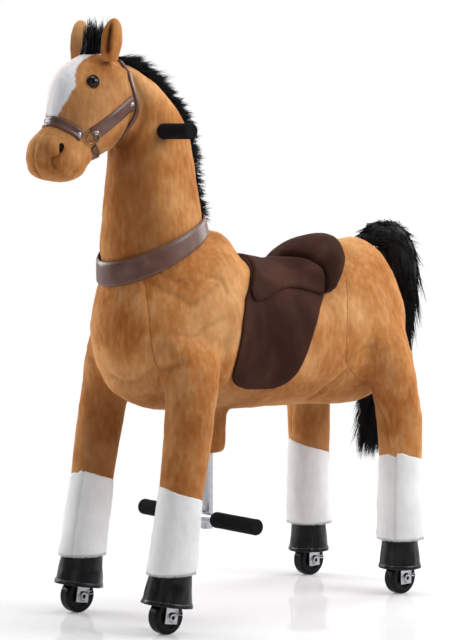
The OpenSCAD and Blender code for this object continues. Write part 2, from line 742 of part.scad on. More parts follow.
// Angle by which the gap above the hinge is wider than the largest spread
spread_room = 1;
module chest() {
    color(plush) difference() {
        trunk_form();
        translate([hinge_x - block, -block / 2, 0]) cube([block + clear, block, 2 * block]);
        translate([hinge_x, 0, hinge_z]) rotate([0, spread_deg + spread_room, 0])
            translate([-block, -block / 2, 0]) cube([block, block, block]);
        translate([hinge_x - over, -chamber_w / 2, chamber_low])
            cube([front_bar[0] + tube_d - hinge_x + over, chamber_w, chamber_top - chamber_low]);
        at_steer(head_tube_low) cylinder(d = head_tube_d + 2 * clear, h = -head_tube_low + over);
        translate([post_x, 0, 0]) cylinder(d = tube_d + 2 * clear, h = hinge_z);
        front_bar_channel();
        for (side = [-1, 1]) front_leg_channel(side);
    }
}
module rear_body() {
    color(plush) difference() {
        trunk_form();
        translate([hinge_x, -block / 2, 0]) cube([block, block, 2 * block]);
        translate([rear_axle_x - tube_d, -chamber_w / 2, chamber_low])
            cube([hinge_x - rear_axle_x + tube_d + over, chamber_w, chamber_top - chamber_low]);
        rear_bar_channel();
        for (side = [-1, 1]) rear_leg_channel(side);
    }
}

// Return spring between a lug on the pedal post and a lug under the seat board
spring_z_share = 0.28;
spring_z = belly_z + trunk_h * spring_z_share;
spring_l = 130;
spring_d = 22;
spring_wire = 3;
spring_turns = 11;
spring_sides = 6;
spring_turn_rings = 8;
straight_share = 0.001;
spring_front = post_x - tube_d;
spring_rear = spring_front - spring_l;
board_t = 12;
board_w = chamber_w - 2 * clear;
board_top = chamber_top - clear;
spring_lug_t = 8;
lug_w = beam_d + 2 * cheek_t;
function spring_point(s) =
    let (lead = spring_wire / (spring_front - spring_rear),
         t = min(1, max(0, (s - lead) / (1 - 2 * lead))),
         swell = min(1, 6 * min(t, 1 - t)),
         r = swell * (spring_d - spring_wire) / 2)
    [spring_front + (spring_rear - spring_front) * s,
     r * sin(360 * spring_turns * t), spring_z + r * cos(360 * spring_turns * t)];
module return_spring() {
    steps = spring_turns * spring_turn_rings;
    sides = spring_sides;
    path = [for (i = [0:steps]) spring_point(i / steps)];
    points = [for (i = [0:steps]) for (k = [0:sides - 1])
        let (d = i == 0 || i == steps ? [-1, 0, 0] : path[i + 1] - path[i - 1],
             f = d / norm(d),
             w = cross(f, [0, f[2], -f[1]] + [0, 0, norm([f[1], f[2]]) < straight_share ? 1 : 0]),
             n = w / norm(w),
             b = cross(f, n),
             a = 360 * k / sides)
        path[i] + spring_wire / 2 * (cos(a) * n + sin(a) * b)];
    color(steel) polyhedron(points, [
        [for (k = [0:sides - 1]) k],
        for (i = [0:steps - 1]) for (k = [0:sides - 1])
            let (a = i * sides + k, b = i * sides + (k + 1) % sides)
            each [[a, a + sides, b + sides], [a, b + sides, b]],
        [for (k = [0:sides - 1]) (steps + 1) * sides - 1 - k]
    ]);
}
module seat_board() {
    back = rear_axle_x + 2 * tube_d;
    front = hinge_x - hinge_sleeve_d;
    color("#c9a877") difference() {
        union() {
            translate([back, -board_w / 2, board_top - board_t]) cube([front - back, board_w, board_t]);
            translate([spring_rear - spring_lug_t, -lug_w / 2, spring_z - spring_d / 2])
                cube([spring_lug_t, lug_w, board_top - spring_z]);
            translate([back + tube_d, -lug_w / 2, rear_bar[1]])
                cube([spring_lug_t, lug_w, board_top - rear_bar[1]]);
        }
        bar_between(rear_bar, hinge, beam_d);
    }
}

// Saddle. Control rows are [angle from the top, first row, last row, extra lift at the front].
front_lift = 5;
// The same where the saddle slides over the shoulders
shoulder_lift = 9;
pad_edge = [
    [-131, 5.40, 6.25, front_lift], [-118, 4.76, 6.68, front_lift], [-78, 4.15, 7.15, front_lift],
    [-54, 4.26, 7.86, shoulder_lift], [0, 4.98, 8.05, front_lift], [54, 4.26, 7.86, shoulder_lift],
    [78, 4.15, 7.15, front_lift], [118, 4.76, 6.68, front_lift], [131, 5.40, 6.25, front_lift]
];
seat_edge = [
    [-60, 4.32, 7.60, shoulder_lift], [-45, 4.44, 7.92, shoulder_lift], [-22, 4.80, 7.96, shoulder_lift],
    [0, 5.00, 7.56, front_lift], [22, 4.80, 7.96, shoulder_lift], [45, 4.44, 7.92, shoulder_lift],
    [60, 4.32, 7.60, shoulder_lift]
];
cantle_edge = [
    [-55, 7.80, 8.10, 0], [-40, 8.00, 8.75, 0], [-20, 7.98, 9.28, 0], [0, 7.58, 9.48, 0],
    [20, 7.98, 9.28, 0], [40, 8.00, 8.75, 0], [55, 7.80, 8.10, 0]
];
// Rows and columns of cells on each layer
pad_cells = [30, 8];
seat_cells = [18, 10];
cantle_cells = [14, 8];
pad_edge_share = 0.7;
seat_edge_share = 0.35;
cantle_edge_share = 0.45;
module saddle_pad() {
    color(suede) patch(trunk_rows, pad_edge, pad_cells[0], pad_cells[1], layer_gap, pad_t, pad_edge_share);
}
module saddle_seat() {
    color(suede) patch(trunk_rows, seat_edge, seat_cells[0], seat_cells[1],
        2 * layer_gap + pad_t, seat_t, seat_edge_share);
}
module saddle_cantle() {
    color(suede) difference() {
        patch(trunk_rows, cantle_edge, cantle_cells[0], cantle_cells[1],
            layer_gap, cantle_t, cantle_edge_share);
        saddle_pad();
        saddle_seat();
    }
}
module tail() {
    color(dark_hair) difference() {
        loft(tail_rows, form_steps, tuft_sides);
        trunk_form();
    }
}

// Neck and head
handle_stem = [on_axis(column_top - column_d)[0], on_axis(column_top - column_d)[2]];
module neck() {
    color(plush) difference() {
        neck_form();
        at_steer(-over) cylinder(d = column_d + 2 * clear, h = column_top + over + clear);
        bar_between(handle_stem, [handle_x, handle_z], bar_d + 2 * clear);
        along_y(handle_x, handle_z, 2 * handle_l, bar_d + 2 * clear);
    }
}
module head() {
    color(plush) difference() {
        head_form();
        neck_form();
    }
}
module ears() {
    color(plush) difference() {
        for (side = [-1, 1]) loft([for (s = ear_shares) ear_row(s, side)], form_steps, tuft_sides);
        head_form();
        neck_form();
    }
}
module mane() {
    color(dark_hair) difference() {
        mane_form();
        neck_form();
        head_form();
    }
}
module forelock() {
    color(dark_hair) difference() {
        loft(forelock_rows, form_steps, tuft_sides);
        head_form();
        neck_form();
        mane_form();
    }
}
eye_row_share = 2.15;
eye_angle = 57;
module eyes() {
    color(black) difference() {
        for (side = [-1, 1])
            translate(ring_point(row_at(head_rows, eye_row_share), side * eye_angle, -eye_d / 5))
                sphere(d = eye_d);
        head_form();
    }
}
// First and last row of each strap on its form
neck_strap_shares = [0.05, 0.72];
noseband_shares = [4.75, 5.22];
cheek_strap_shares = [1.75, 4.62];
module neck_strap() {
    color(strap_brown)
        band(neck_rows, neck_strap_shares[0], neck_strap_shares[1], form_sides, layer_gap, strap_t);
}
module noseband() {
    color(strap_brown)
        band(head_rows, noseband_shares[0], noseband_shares[1], form_sides, layer_gap, strap_t);
}
cheek_angle = 96;
cheek_spread = 8;
cheek_edge = [for (a = [-1, 0, 1])
    [cheek_angle + a * cheek_spread, cheek_strap_shares[0], cheek_strap_shares[1], 0]];
module cheek_straps() {
    color(strap_brown) for (side = [0, 1]) mirror([0, side, 0]) difference() {
        patch(head_rows, cheek_edge, len(cheek_edge) - 1, tuft_sides, clear, strap_t, pad_edge_share);
        neck_form();
    }
}
ring_row_share = 4.68;
ring_wire_share = 0.14;
// Room for the flat ring over the rounded cheek
ring_room = 3.4;
module bridle_rings() {
    wire = ring_d * ring_wire_share;
    spot = ring_point(row_at(head_rows, ring_row_share), cheek_angle, strap_t + ring_room + wire / 2);
    color("#7d6b4f") for (side = [-1, 1]) translate([spot[0], side * spot[1], spot[2]])
        rotate([90, 0, 0]) rotate_extrude() translate([ring_d / 2, 0]) circle(d = wire);
}
module steering_column() {
    color(steel) difference() {
        union() {
            at_steer(column_low) cylinder(d = column_d, h = column_top - column_low);
            at_steer(head_tube_top + clear) cylinder(d = head_tube_d, h = collar_h);
            bar_between(handle_stem, [handle_x, handle_z], bar_d);
        }
        along_y(handle_x, handle_z, handle_l, bar_d);
    }
}
module handlebar() {
    color(steel) along_y(handle_x, handle_z, handle_l, bar_d);
}
module grip(side) {
    cap = (grip_d - bar_d) / 3;
    color(black) difference() {
        translate([handle_x, 0, handle_z]) mirror([0, side < 0 ? 1 : 0, 0])
            translate([0, handle_l / 2 + cap + clear - grip_l, 0]) foam_shape(grip_l, grip_d);
        neck_form();
    }
}

chest();
front_leg(1);  // front_leg_left
front_leg(-1);  // front_leg_right
hoof(true, 1);  // front_hoof_left
hoof(true, -1);  // front_hoof_right
front_leg_tube(1);  // front_leg_tube_left
front_leg_tube(-1);  // front_leg_tube_right
front_crossbar();
front_beam();
steering_head();
pedal_post();
pedal_bar();
pedal_foam(1);  // pedal_foam_left
pedal_foam(-1);  // pedal_foam_right
post_sleeve();
rear_body();
rear_leg(1);  // rear_leg_left
rear_leg(-1);  // rear_leg_right
hoof(false, 1);  // rear_hoof_left
hoof(false, -1);  // rear_hoof_right
rear_leg_tube(1);  // rear_leg_tube_left
rear_leg_tube(-1);  // rear_leg_tube_right
rear_crossbar();
rear_beam();
hinge_pin();
return_spring();
seat_board();
fork(false, 1);  // rear_fork_left
fork(false, -1);  // rear_fork_right
color(steel) for (side = [-1, 1]) at_rear_leg(side) axle_bolt();  // rear_axles
saddle_pad();
saddle_seat();
saddle_cantle();
tail();
neck();
head();
ears();
mane();
forelock();
eyes();
neck_strap();
noseband();
cheek_straps();
bridle_rings();
steering_column();
handlebar();
grip(1);  // grip_left
grip(-1);  // grip_right
fork(true, 1);  // front_fork_left
fork(true, -1);  // front_fork_right
color(steel) at_front_leg(1) axle_bolt();  // front_axle_left
color(steel) at_front_leg(-1) axle_bolt();  // front_axle_right
core(true, 1);  // wheel_front_left
core(true, -1);  // wheel_front_right
core(false, 1);  // wheel_rear_left
core(false, -1);  // wheel_rear_right
tyre(true, 1);  // tyre_front_left
tyre(true, -1);  // tyre_front_right
tyre(false, 1);  // tyre_rear_left
tyre(false, -1);  // tyre_rear_right
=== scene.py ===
"""Looks of the ride-on horse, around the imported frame. Metres: +X is forward, +Y its left, +Z up."""
import json
import math
from collections import namedtuple

import bmesh
import bpy
import numpy as np
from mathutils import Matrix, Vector, kdtree
from mathutils import noise as field
from mathutils.bvhtree import BVHTree


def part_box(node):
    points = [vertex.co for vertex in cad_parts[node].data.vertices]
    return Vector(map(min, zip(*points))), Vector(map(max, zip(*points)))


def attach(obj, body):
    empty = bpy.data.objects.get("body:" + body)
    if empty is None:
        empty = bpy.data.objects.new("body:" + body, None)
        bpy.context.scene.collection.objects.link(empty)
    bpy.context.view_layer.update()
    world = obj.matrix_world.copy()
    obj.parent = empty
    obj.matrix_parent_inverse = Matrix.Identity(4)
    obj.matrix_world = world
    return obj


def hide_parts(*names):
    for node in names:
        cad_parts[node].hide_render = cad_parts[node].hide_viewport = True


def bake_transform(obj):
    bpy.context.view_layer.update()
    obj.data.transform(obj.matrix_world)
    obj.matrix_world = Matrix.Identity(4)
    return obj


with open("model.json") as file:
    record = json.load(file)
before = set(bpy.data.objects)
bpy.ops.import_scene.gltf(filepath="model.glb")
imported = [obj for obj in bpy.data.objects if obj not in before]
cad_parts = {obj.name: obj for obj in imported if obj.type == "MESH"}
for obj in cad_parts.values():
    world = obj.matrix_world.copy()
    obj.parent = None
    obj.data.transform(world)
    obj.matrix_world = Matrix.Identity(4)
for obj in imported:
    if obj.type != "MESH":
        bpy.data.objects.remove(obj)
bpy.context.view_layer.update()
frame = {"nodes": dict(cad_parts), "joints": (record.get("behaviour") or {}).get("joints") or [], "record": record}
nodes = frame["nodes"]
joints = {j["name"]: j for j in frame["joints"]}
dice = np.random.default_rng(11)
MM = 0.001


def low(node):
    return np.array(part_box(node)[0])


def high(node):
    return np.array(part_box(node)[1])


def span(node):
    return high(node) - low(node)


# Camera at the photograph's place, found by fitting landmarks
camera_data = bpy.data.cameras.new("camera")
camera_data.lens = 131.7
camera_data.sensor_width = 36
camera = bpy.data.objects.new("camera", camera_data)
bpy.context.scene.collection.objects.link(camera)
camera.location = (2.7058, 3.1305, 0.8195)
view_turn = math.radians(49.27)
view_tilt = math.radians(4.31)
towards = Vector((math.cos(view_turn) * math.cos(view_tilt), math.sin(view_turn) * math.cos(view_tilt),
                  math.sin(view_tilt)))
camera.rotation_euler = towards.to_track_quat("Z", "Y").to_euler()
bpy.context.scene.camera = camera
bpy.context.scene.view_settings.view_transform = "Standard"


# Sizes read from the frame. The shares undo those of the rows below, which set the boxes' edges
hinge = np.array(joints["body_fold"]["pos_m"])
seam = np.array(joints["steer"]["pos_m"])
steer_axis = np.array(joints["steer"]["axis"])
rump_x = low("rear_body")[0]
belly_z = low("chest")[2] - 1.2 * MM
trunk_l = (high("chest")[0] - rump_x) / 1.004
trunk_h = high("rear_body")[2] - belly_z
trunk_w = 2 * high("rear_body")[1]
neck_w = 2 * high("neck")[1]
base_depth = 2 * (seam[2] - low("neck")[2]) / steer_axis[0]
neck_back = low("neck")[0]
neck_low = low("neck")[2]
neck_h = (high("neck")[2] - neck_low) / 0.985
neck_depth = (high("neck")[0] - neck_back) / 1.17
head_w = 2 * high("head")[1]
head_l = 1.736 * head_w
head_back = high("head")[0] - 0.998 * head_l
chin_z = low("head")[2]
head_h = (high("head")[2] - chin_z) / 0.995
wheel_spots = {name[6:]: np.array(joints[name + "_spin"]["pos_m"])
               for name in ("wheel_front_left", "wheel_front_right", "wheel_rear_left", "wheel_rear_right")}
axle_z = wheel_spots["front_left"][2]
rake = math.asin(-joints["front_fork_left_swivel"]["axis"][0])
front_hoof_d = span("front_hoof_left")[1]
rear_hoof_d = span("rear_hoof_left")[1]
front_sock_d = 0.864 * front_hoof_d
rear_sock_d = rear_hoof_d
thigh_d = 1.273 * front_hoof_d
hoof_top = high("rear_hoof_left")[2] - axle_z
leg_l = 0.741 * hinge[2]
haunch = 34 * MM
mane_w = 2 * high("mane")[1]
ear_w = 0.345 * head_w
ear_x = head_back + head_l / 3
ear_z = chin_z + head_h - ear_w / 2
ear_h = high("ears")[2] - ear_z
ear_gap = 0.764 * head_w
tail_top = belly_z + 1.11 * trunk_h
tail_h = 1.476 * trunk_h
tail_reach = 0.099 * trunk_l
eye_d = 0.191 * head_w
leg_y = wheel_spots["front_left"][1]

Corner = namedtuple("Corner", "name spot front side tilt body sock_d hoof_d")
corners = []
for name, spot in wheel_spots.items():
    side = 1 if "left" in name else -1
    if "front" in name:
        corners.append(Corner(name, spot, True, side, rake, "front_half", front_sock_d, front_hoof_d))
    else:
        corners.append(Corner(name, spot, False, side, 0, "rear_half", rear_sock_d, rear_hoof_d))


# Rows of the stuffed forms: x and z of two edges, half width, y of the middle
def form_rows(x, z, length, height, width, shares):
    """Rows from shares of a form's length, height and width."""
    return [[x + a * length, z + b * height, x + c * length, z + d * height, e * width / 2, 0]
            for a, b, c, d, e in shares]


def trunk_row(a, b, c, d, e, rising):
    """Row of the trunk, whose top edge rises from the rump's height to the withers'."""
    top = trunk_h + rising * (withers - trunk_h)
    return [rump_x + a * trunk_l, belly_z + b * top, rump_x + c * trunk_l, belly_z + d * trunk_h,
            e * trunk_w / 2, 0]


def round_row(x, z, r, turn, half, y=0):
    """Row through a middle, with its two edges a radius away at an angle."""
    dx, dz = r * math.cos(turn), r * math.sin(turn)
    return [x + dx, z + dz, x - dx, z - dz, half, y]


withers = seam[2] + steer_axis[0] * base_depth / 2 - belly_z
seam_row = [seam[0] - steer_axis[2] * base_depth / 2, seam[2] + steer_axis[0] * base_depth / 2,
            seam[0] + steer_axis[2] * base_depth / 2, seam[2] - steer_axis[0] * base_depth / 2, neck_w / 2, 0]
trunk_rows = np.array([seam_row] + [trunk_row(*shares) for shares in [
    [0.678, 1.006, 1.004, 0.560, 0.82, 1.0],
    [0.660, 1.018, 0.994, 0.345, 0.96, 1.0],
    [0.636, 1.008, 0.955, 0.160, 1.04, 0.7],
    [0.606, 0.930, 0.860, 0.050, 1.04, 0.4],
    [0.565, 0.880, 0.740, 0.016, 1.00, 0.2],
    [0.515, 0.855, 0.590, 0.004, 0.98, 0.0],
    [0.455, 0.838, 0.455, 0.000, 0.98, 0.0],
    [0.365, 0.880, 0.350, -0.004, 0.98, 0.0],
    [0.275, 0.933, 0.260, -0.018, 1.00, 0.0],
    [0.190, 0.985, 0.165, -0.024, 0.97, 0.0],
    [0.135, 1.000, 0.085, 0.020, 0.88, 0.0],
    [0.095, 0.960, 0.025, 0.120, 0.70, 0.0],
    [0.056, 0.870, 0.002, 0.250, 0.50, 0.0],
    [0.022, 0.730, 0.000, 0.420, 0.24, 0.0]]])
neck_rows = np.array([seam_row] + form_rows(neck_back, neck_low, neck_depth, neck_h, neck_w, [
    [0.045, 0.320, 0.995, 0.165, 0.90],
    [0.075, 0.410, 0.970, 0.360, 0.80],
    [0.115, 0.550, 0.940, 0.525, 0.72],
    [0.170, 0.680, 0.930, 0.630, 0.66],
    [0.300, 0.785, 0.985, 0.730, 0.61],
    [0.485, 0.873, 1.080, 0.830, 0.57],
    [0.720, 0.945, 1.140, 0.905, 0.48],
    [0.910, 0.985, 1.170, 0.945, 0.32]]))
head_rows = np.array(form_rows(head_back, chin_z, head_l, head_h, head_w, [
    [0.270, 0.995, 0.090, 0.830, 0.40],
    [0.480, 0.965, 0.010, 0.640, 0.83],
    [0.665, 0.865, 0.020, 0.490, 0.98],
    [0.760, 0.735, 0.110, 0.350, 1.00],
    [0.795, 0.575, 0.245, 0.245, 0.91],
    [0.815, 0.460, 0.380, 0.170, 0.80],
    [0.880, 0.395, 0.475, 0.105, 0.83],
    [0.960, 0.305, 0.570, 0.040, 0.90],
    [0.998, 0.205, 0.675, 0.000, 0.87],
    [0.975, 0.110, 0.790, 0.008, 0.64],
    [0.925, 0.055, 0.860, 0.025, 0.25]]))


# Up a leg: share of its length, of the ankle's and the thigh's width, flatness, way inwards and way back
LEG = [[0.000, 0.86, 0.00, 1.00, 0.00, 0.00], [0.030, 1.00, 0.00, 1.00, 0.00, 0.00],
       [0.200, 1.02, 0.00, 1.00, 0.00, 0.00], [0.360, 1.05, 0.00, 1.00, 0.00, 0.00],
       [0.400, 1.05, 0.00, 1.00, 0.00, 0.00], [0.560, 0.68, 0.28, 1.00, 0.01, 0.10],
       [0.730, 0.30, 0.58, 1.00, 0.05, 0.45], [0.860, 0.00, 0.98, 0.88, 0.14, 0.80],
       [0.960, 0.00, 1.08, 0.72, 0.25, 0.95], [1.060, 0.00, 1.00, 0.54, 0.36, 1.00],
       [1.130, 0.00, 0.66, 0.36, 0.46, 1.00]]
# Down the tail: way ahead of the rump, way down, radius, way aside and angle of the edges
TAIL = [[1.05, 0.092, 0.18, 0.05, 60], [0.50, 0.066, 0.34, 0.08, 86], [-0.06, 0.090, 0.52, 0.10, 130],
        [-0.34, 0.215, 0.64, 0.08, 166], [-0.40, 0.400, 0.60, -0.08, 178], [-0.36, 0.600, 0.46, -0.45, 178],
        [-0.25, 0.800, 0.28, -0.74, 176], [-0.12, 0.970, 0.06, -0.84, 176]]


def leg_rows(corner):
    rows = []
    for up, ankle, thigh, flat, inwards, backwards in LEG:
        r = ankle * corner.sock_d / 2 + thigh * thigh_d / 2
        along = hoof_top + up * leg_l
        x = corner.spot[0] - along * math.sin(corner.tilt) + backwards * (0 if corner.front else haunch)
        z = axle_z + along * math.cos(corner.tilt)
        rows.append(round_row(x, z, r, corner.tilt, r * flat, corner.spot[1] * (1 - inwards)))
    return np.array(rows)


tail_rows = np.array([round_row(rump_x + ahead * tail_reach, tail_top - down * tail_h, r * tail_reach,
                                math.radians(turn), r * tail_reach, aside * tail_reach)
                      for ahead, down, r, aside, turn in TAIL])


# Sums that come up often
def turns(count):
    """Angles all the way round, evenly apart."""
    return np.arange(count) * 2 * math.pi / count


def turn_from(angle, middle):
    """Turn from a middle angle, at most half a turn either way."""
    return (angle - middle + math.pi) % (2 * math.pi) - math.pi


def unit(vectors, spare=0.0):
    """Vectors brought to a length of one."""
    return vectors / (np.linalg.norm(vectors, axis=-1) + spare)[..., None]


def bell(distance, width):
    return np.exp(-(distance / width) ** 2)


def rise(value, width):
    """From nothing to one while a value goes from nothing to a width."""
    return np.clip(value / width, 0, 1)


def lumps(points, scale, seed):
    return np.array([field.noise(Vector((p[0] * scale + seed, p[1] * scale - seed, p[2] * scale + 2 * seed)))
                     for p in points])


def swell(points, waves):
    """Soft noise in layers, each with its depth in millimetres, scale and seed."""
    return sum(depth * MM * lumps(points, scale, seed) for depth, scale, seed in waves)


# Meshes
def row_at(table, u):
    """Smooth rows at some places in a table of rows."""
    table = np.asarray(table, float)
    u = np.asarray(u, float)
    last = len(table) - 1
    i = np.clip(np.floor(u).astype(int), 0, last - 1)
    t = (u - i)[..., None]
    p, q, r, s = table[np.maximum(i - 1, 0)], table[i], table[i + 1], table[np.minimum(i + 2, last)]
    bend = 2 * p - 5 * q + 4 * r - s
    return (2 * q + (r - p) * t + bend * t ** 2 + (3 * q - p - 3 * r + s) * t ** 3) / 2


def smooth(table, count):
    """Smooth rows evenly along a whole table."""
    return row_at(table, np.linspace(0, len(table) - 1, count))


def ring_point(rows, angle, out):
    """Points round a row, some way out of it."""
    dx, dz = (rows[..., 0] - rows[..., 2]) / 2, (rows[..., 1] - rows[..., 3]) / 2
    depth = np.hypot(dx, dz)
    reach = np.cos(angle) * (depth + out) / depth
    return np.stack([(rows[..., 0] + rows[..., 2]) / 2 + dx * reach,
                     rows[..., 5] + np.sin(angle) * (rows[..., 4] + out),
                     (rows[..., 1] + rows[..., 3]) / 2 + dz * reach], -1)


def build(name, points, faces):
    mesh = bpy.data.meshes.new(name)
    mesh.from_pydata([tuple(p) for p in points], [], faces)
    mesh.validate()
    mesh.update()
    obj = bpy.data.objects.new(name, mesh)
    bpy.context.scene.collection.objects.link(obj)
    return obj


def outward(obj):
    """Turn the faces of closed pieces to look outwards."""
    work = bmesh.new()
    work.from_mesh(obj.data)
    bmesh.ops.recalc_face_normals(work, faces=work.faces)
    work.to_mesh(obj.data)
    work.free()
    obj.data.polygons.foreach_set("use_smooth", np.ones(len(obj.data.polygons), bool))
    obj.data.update()
    return obj


def tube_faces(rings, sides, caps=True):
    faces = []
    for i in range(rings - 1):
        for k in range(sides):
            a, b = i * sides + k, i * sides + (k + 1) % sides
            faces.append((a, b, b + sides, a + sides))
    if caps:
        faces.append(tuple(reversed(range(sides))))
        faces.append(tuple((rings - 1) * sides + k for k in range(sides)))
    return faces


def loop_faces(rings, sides):
    """Faces of a tube whose last ring meets its first."""
    last = (rings - 1) * sides
    return tube_faces(rings, sides, False) + [(last + k, last + (k + 1) % sides, (k + 1) % sides, k)
                                              for k in range(sides)]


def loft(rows, steps, sides, out=0.0):
    """Points and faces of a closed form through the rows."""
    count = (len(rows) - 1) * steps
    u = np.arange(count + 1) / steps
    points = ring_point(row_at(rows, u)[:, None, :], turns(sides)[None, :], out).reshape(-1, 3)
    return points, tube_faces(count + 1, sides)


def joined(parts):
    """Several sets of points and faces as one."""
    points, faces, start = [], [], 0
    for p, f in parts:
        points.append(np.asarray(p))
        faces += [tuple(i + start for i in face) for face in f]
        start += len(p)
    return np.concatenate(points), faces


def coords(obj):
    data = np.empty(len(obj.data.vertices) * 3)
    obj.data.vertices.foreach_get("co", data)
    return data.reshape(-1, 3)


def normals(obj):
    data = np.empty(len(obj.data.vertices) * 3, np.float32)
    obj.data.vertex_normals.foreach_get("vector", data)
    return data.reshape(-1, 3).astype(float)


def put_coords(obj, points):
    obj.data.vertices.foreach_set("co", np.ascontiguousarray(points, np.float32).ravel())
    obj.data.update()


def relax(obj, rounds):
    """Move each point halfway to the middle of its neighbours, some times over."""
    edges = np.empty(len(obj.data.edges) * 2, np.int32)
    obj.data.edges.foreach_get("vertices", edges)
    edges = edges.reshape(-1, 2)
    points = coords(obj)
    count = np.bincount(edges.ravel(), minlength=len(points))[:, None]
    for _ in range(rounds):
        total = np.zeros_like(points)
        for axis in range(3):
            total[:, axis] += np.bincount(edges[:, 0], points[edges[:, 1], axis], len(points))
            total[:, axis] += np.bincount(edges[:, 1], points[edges[:, 0], axis], len(points))
        points += 0.5 * (total / count - points)
    put_coords(obj, points)


def remeshed(name, parts, voxel, rounds):
    """One skin over several closed forms."""
    obj = outward(build(name, *joined(parts)))
    change = obj.modifiers.new("join", "REMESH")
    change.mode = "VOXEL"
    change.voxel_size = voxel
    change.use_smooth_shade = True
    bpy.context.view_layer.update()
    done = bpy.data.meshes.new_from_object(obj.evaluated_get(bpy.context.evaluated_depsgraph_get()))
    obj.modifiers.clear()
    obj.data = done
    obj.data.name = name
    relax(obj, rounds)
    return obj


def curve(line, count, closed=False):
    """Smooth points along a given line, evenly apart."""
    line = np.asarray(line, float)
    if closed:
        line = np.concatenate([line[-2:], line, line[:3]])
        dense = row_at(line, np.linspace(2, len(line) - 3, 40 * len(line)))
    else:
        dense = smooth(line, 40 * len(line))
    gone = np.concatenate([[0], np.cumsum(np.linalg.norm(np.diff(dense, axis=0), axis=1))])
    spots = np.linspace(0, gone[-1], count, endpoint=not closed)
    return np.stack([np.interp(spots, gone, dense[:, axis]) for axis in range(3)], 1)


def both_sides(line):
    line = np.asarray(line, float) * MM
    return [line, line * [1, -1, 1]]


def nearest(points, spots):
    """Nearest of some spots to each point, and the distance to it."""
    tree = kdtree.KDTree(len(spots))
    for i, p in enumerate(spots):
        tree.insert(p, i)
    tree.balance()
    found = [tree.find(p) for p in points]
    return np.array([f[0] for f in found]), np.array([f[2] for f in found])


def curve_points(lines):
    """Points along smooth lines on both sides."""
    return np.concatenate([curve(side, 200) for line in lines for side in both_sides(line)])


def tree_of(obj):
    return BVHTree.FromPolygons([tuple(v.co) for v in obj.data.vertices],
                                [tuple(p.vertices) for p in obj.data.polygons])


def on_skin(tree, points, lift):
    """Nearest places on a skin, lifted off it."""
    shape = points.shape
    found = [tree.find_nearest(p) for p in points.reshape(-1, 3)]
    spots = np.array([f[0] for f in found]).reshape(shape)
    away = np.array([f[1] for f in found]).reshape(shape)
    return spots + away * lift, away


def soften(grid, rounds, closed=False):
    for _ in range(rounds):
        if closed:
            grid = (np.roll(grid, 1, 0) + grid * 2 + np.roll(grid, -1, 0)) / 4
        else:
            grid[1:-1] = (grid[:-2] + grid[1:-1] * 2 + grid[2:]) / 4
    return grid


def strap(name, tree, line, width, thick, count, closed=False, lift=1.0 * MM, across=8):
    """Flat strap along a line over a skin, with rounded edges."""
    path, away = on_skin(tree, curve(line, count, closed), 0)
    path = soften(path, 4, closed)
    away = unit(soften(away, 6, closed))
    ahead = np.roll(path, -1, 0) - np.roll(path, 1, 0) if closed else np.gradient(path, axis=0)
    aside = unit(np.cross(away, ahead))
    share = np.linspace(-0.5, 0.5, across + 1)
    flat = path[:, None, :] + aside[:, None, :] * (share * width)[None, :, None]
    base, normal = on_skin(tree, flat, lift)
    base = soften(base, 3, closed)
    normal = unit(soften(normal, 3, closed))
    edge = rise(0.5 - np.abs(share), 0.12) ** 0.5
    top = base + normal * (thick * (0.35 + 0.65 * edge))[None, :, None]
    section = np.concatenate([top, base[:, ::-1] - normal[:, ::-1] * 0.2 * MM], 1)
    faces = (loop_faces if closed else tube_faces)(count, section.shape[1])
    return outward(build(name, section.reshape(-1, 3), faces)), top, normal


def lathe(profile, sides):
    """Closed form turned about Z from points of radius and height."""
    profile = np.asarray(profile, float)
    angle = turns(sides)
    points = np.stack([profile[:, None, 0] * np.cos(angle), profile[:, None, 0] * np.sin(angle),
                       np.repeat(profile[:, None, 1], sides, 1)], -1).reshape(-1, 3)
    return points, tube_faces(len(profile), sides)


def torus(reach, wire, rings, lift=0.0):
    """Ring about Z from round wire."""
    sides = 16
    a, b = turns(rings)[:, None], turns(sides)
    out = reach + wire * np.cos(b)
    up = np.repeat((lift + wire * np.sin(b))[None, :], rings, 0)
    points = np.stack([out * np.cos(a), out * np.sin(a), up], -1).reshape(-1, 3)
    return points, loop_faces(rings, sides)


def aimed(shape, axis, spot):
    """Points and faces made about Z, turned to an axis and moved to a place."""
    turn = np.array(Vector(axis).to_track_quat("Z", "Y").to_matrix())
    return np.asarray(shape[0]) @ turn.T + np.asarray(spot), shape[1]


def strands(roots, mids, tips, thick, steps=5):
    """Tapered three-sided hairs along curved lines."""
    t = np.linspace(0, 1, steps + 1)[None, :, None]
    path = roots[:, None] * (1 - t) ** 2 + mids[:, None] * 2 * t * (1 - t) + tips[:, None] * t ** 2
    ahead = unit(np.gradient(path, axis=1), 1e-9)
    side = unit(np.cross(ahead, np.array([0.31, 0.87, 0.22])), 1e-9)
    other = np.cross(ahead, side)
    size = np.asarray(thick)[:, None, None] * np.clip(1 - t ** 1.7, 0.06, 1)
    rings = [path + size * (math.cos(a) * side + math.sin(a) * other) for a in (0, 2.094, 4.189)]
    points = np.stack(rings, 2).reshape(-1, 3)
    each = (steps + 1) * 3
    one = tube_faces(steps + 1, 3)
    return points, [tuple(k + i * each for k in face) for i in range(len(roots)) for face in one]


# Materials
def ink(r, g, b):
    """Linear colour of an sRGB one."""
    shares = [c / 255 for c in (r, g, b)]
    return tuple(s / 12.92 if s <= 0.04 else ((s + 0.055) / 1.055) ** 2.4 for s in shares) + (1,)


def grey(value):
    return (value, value, value, 1)


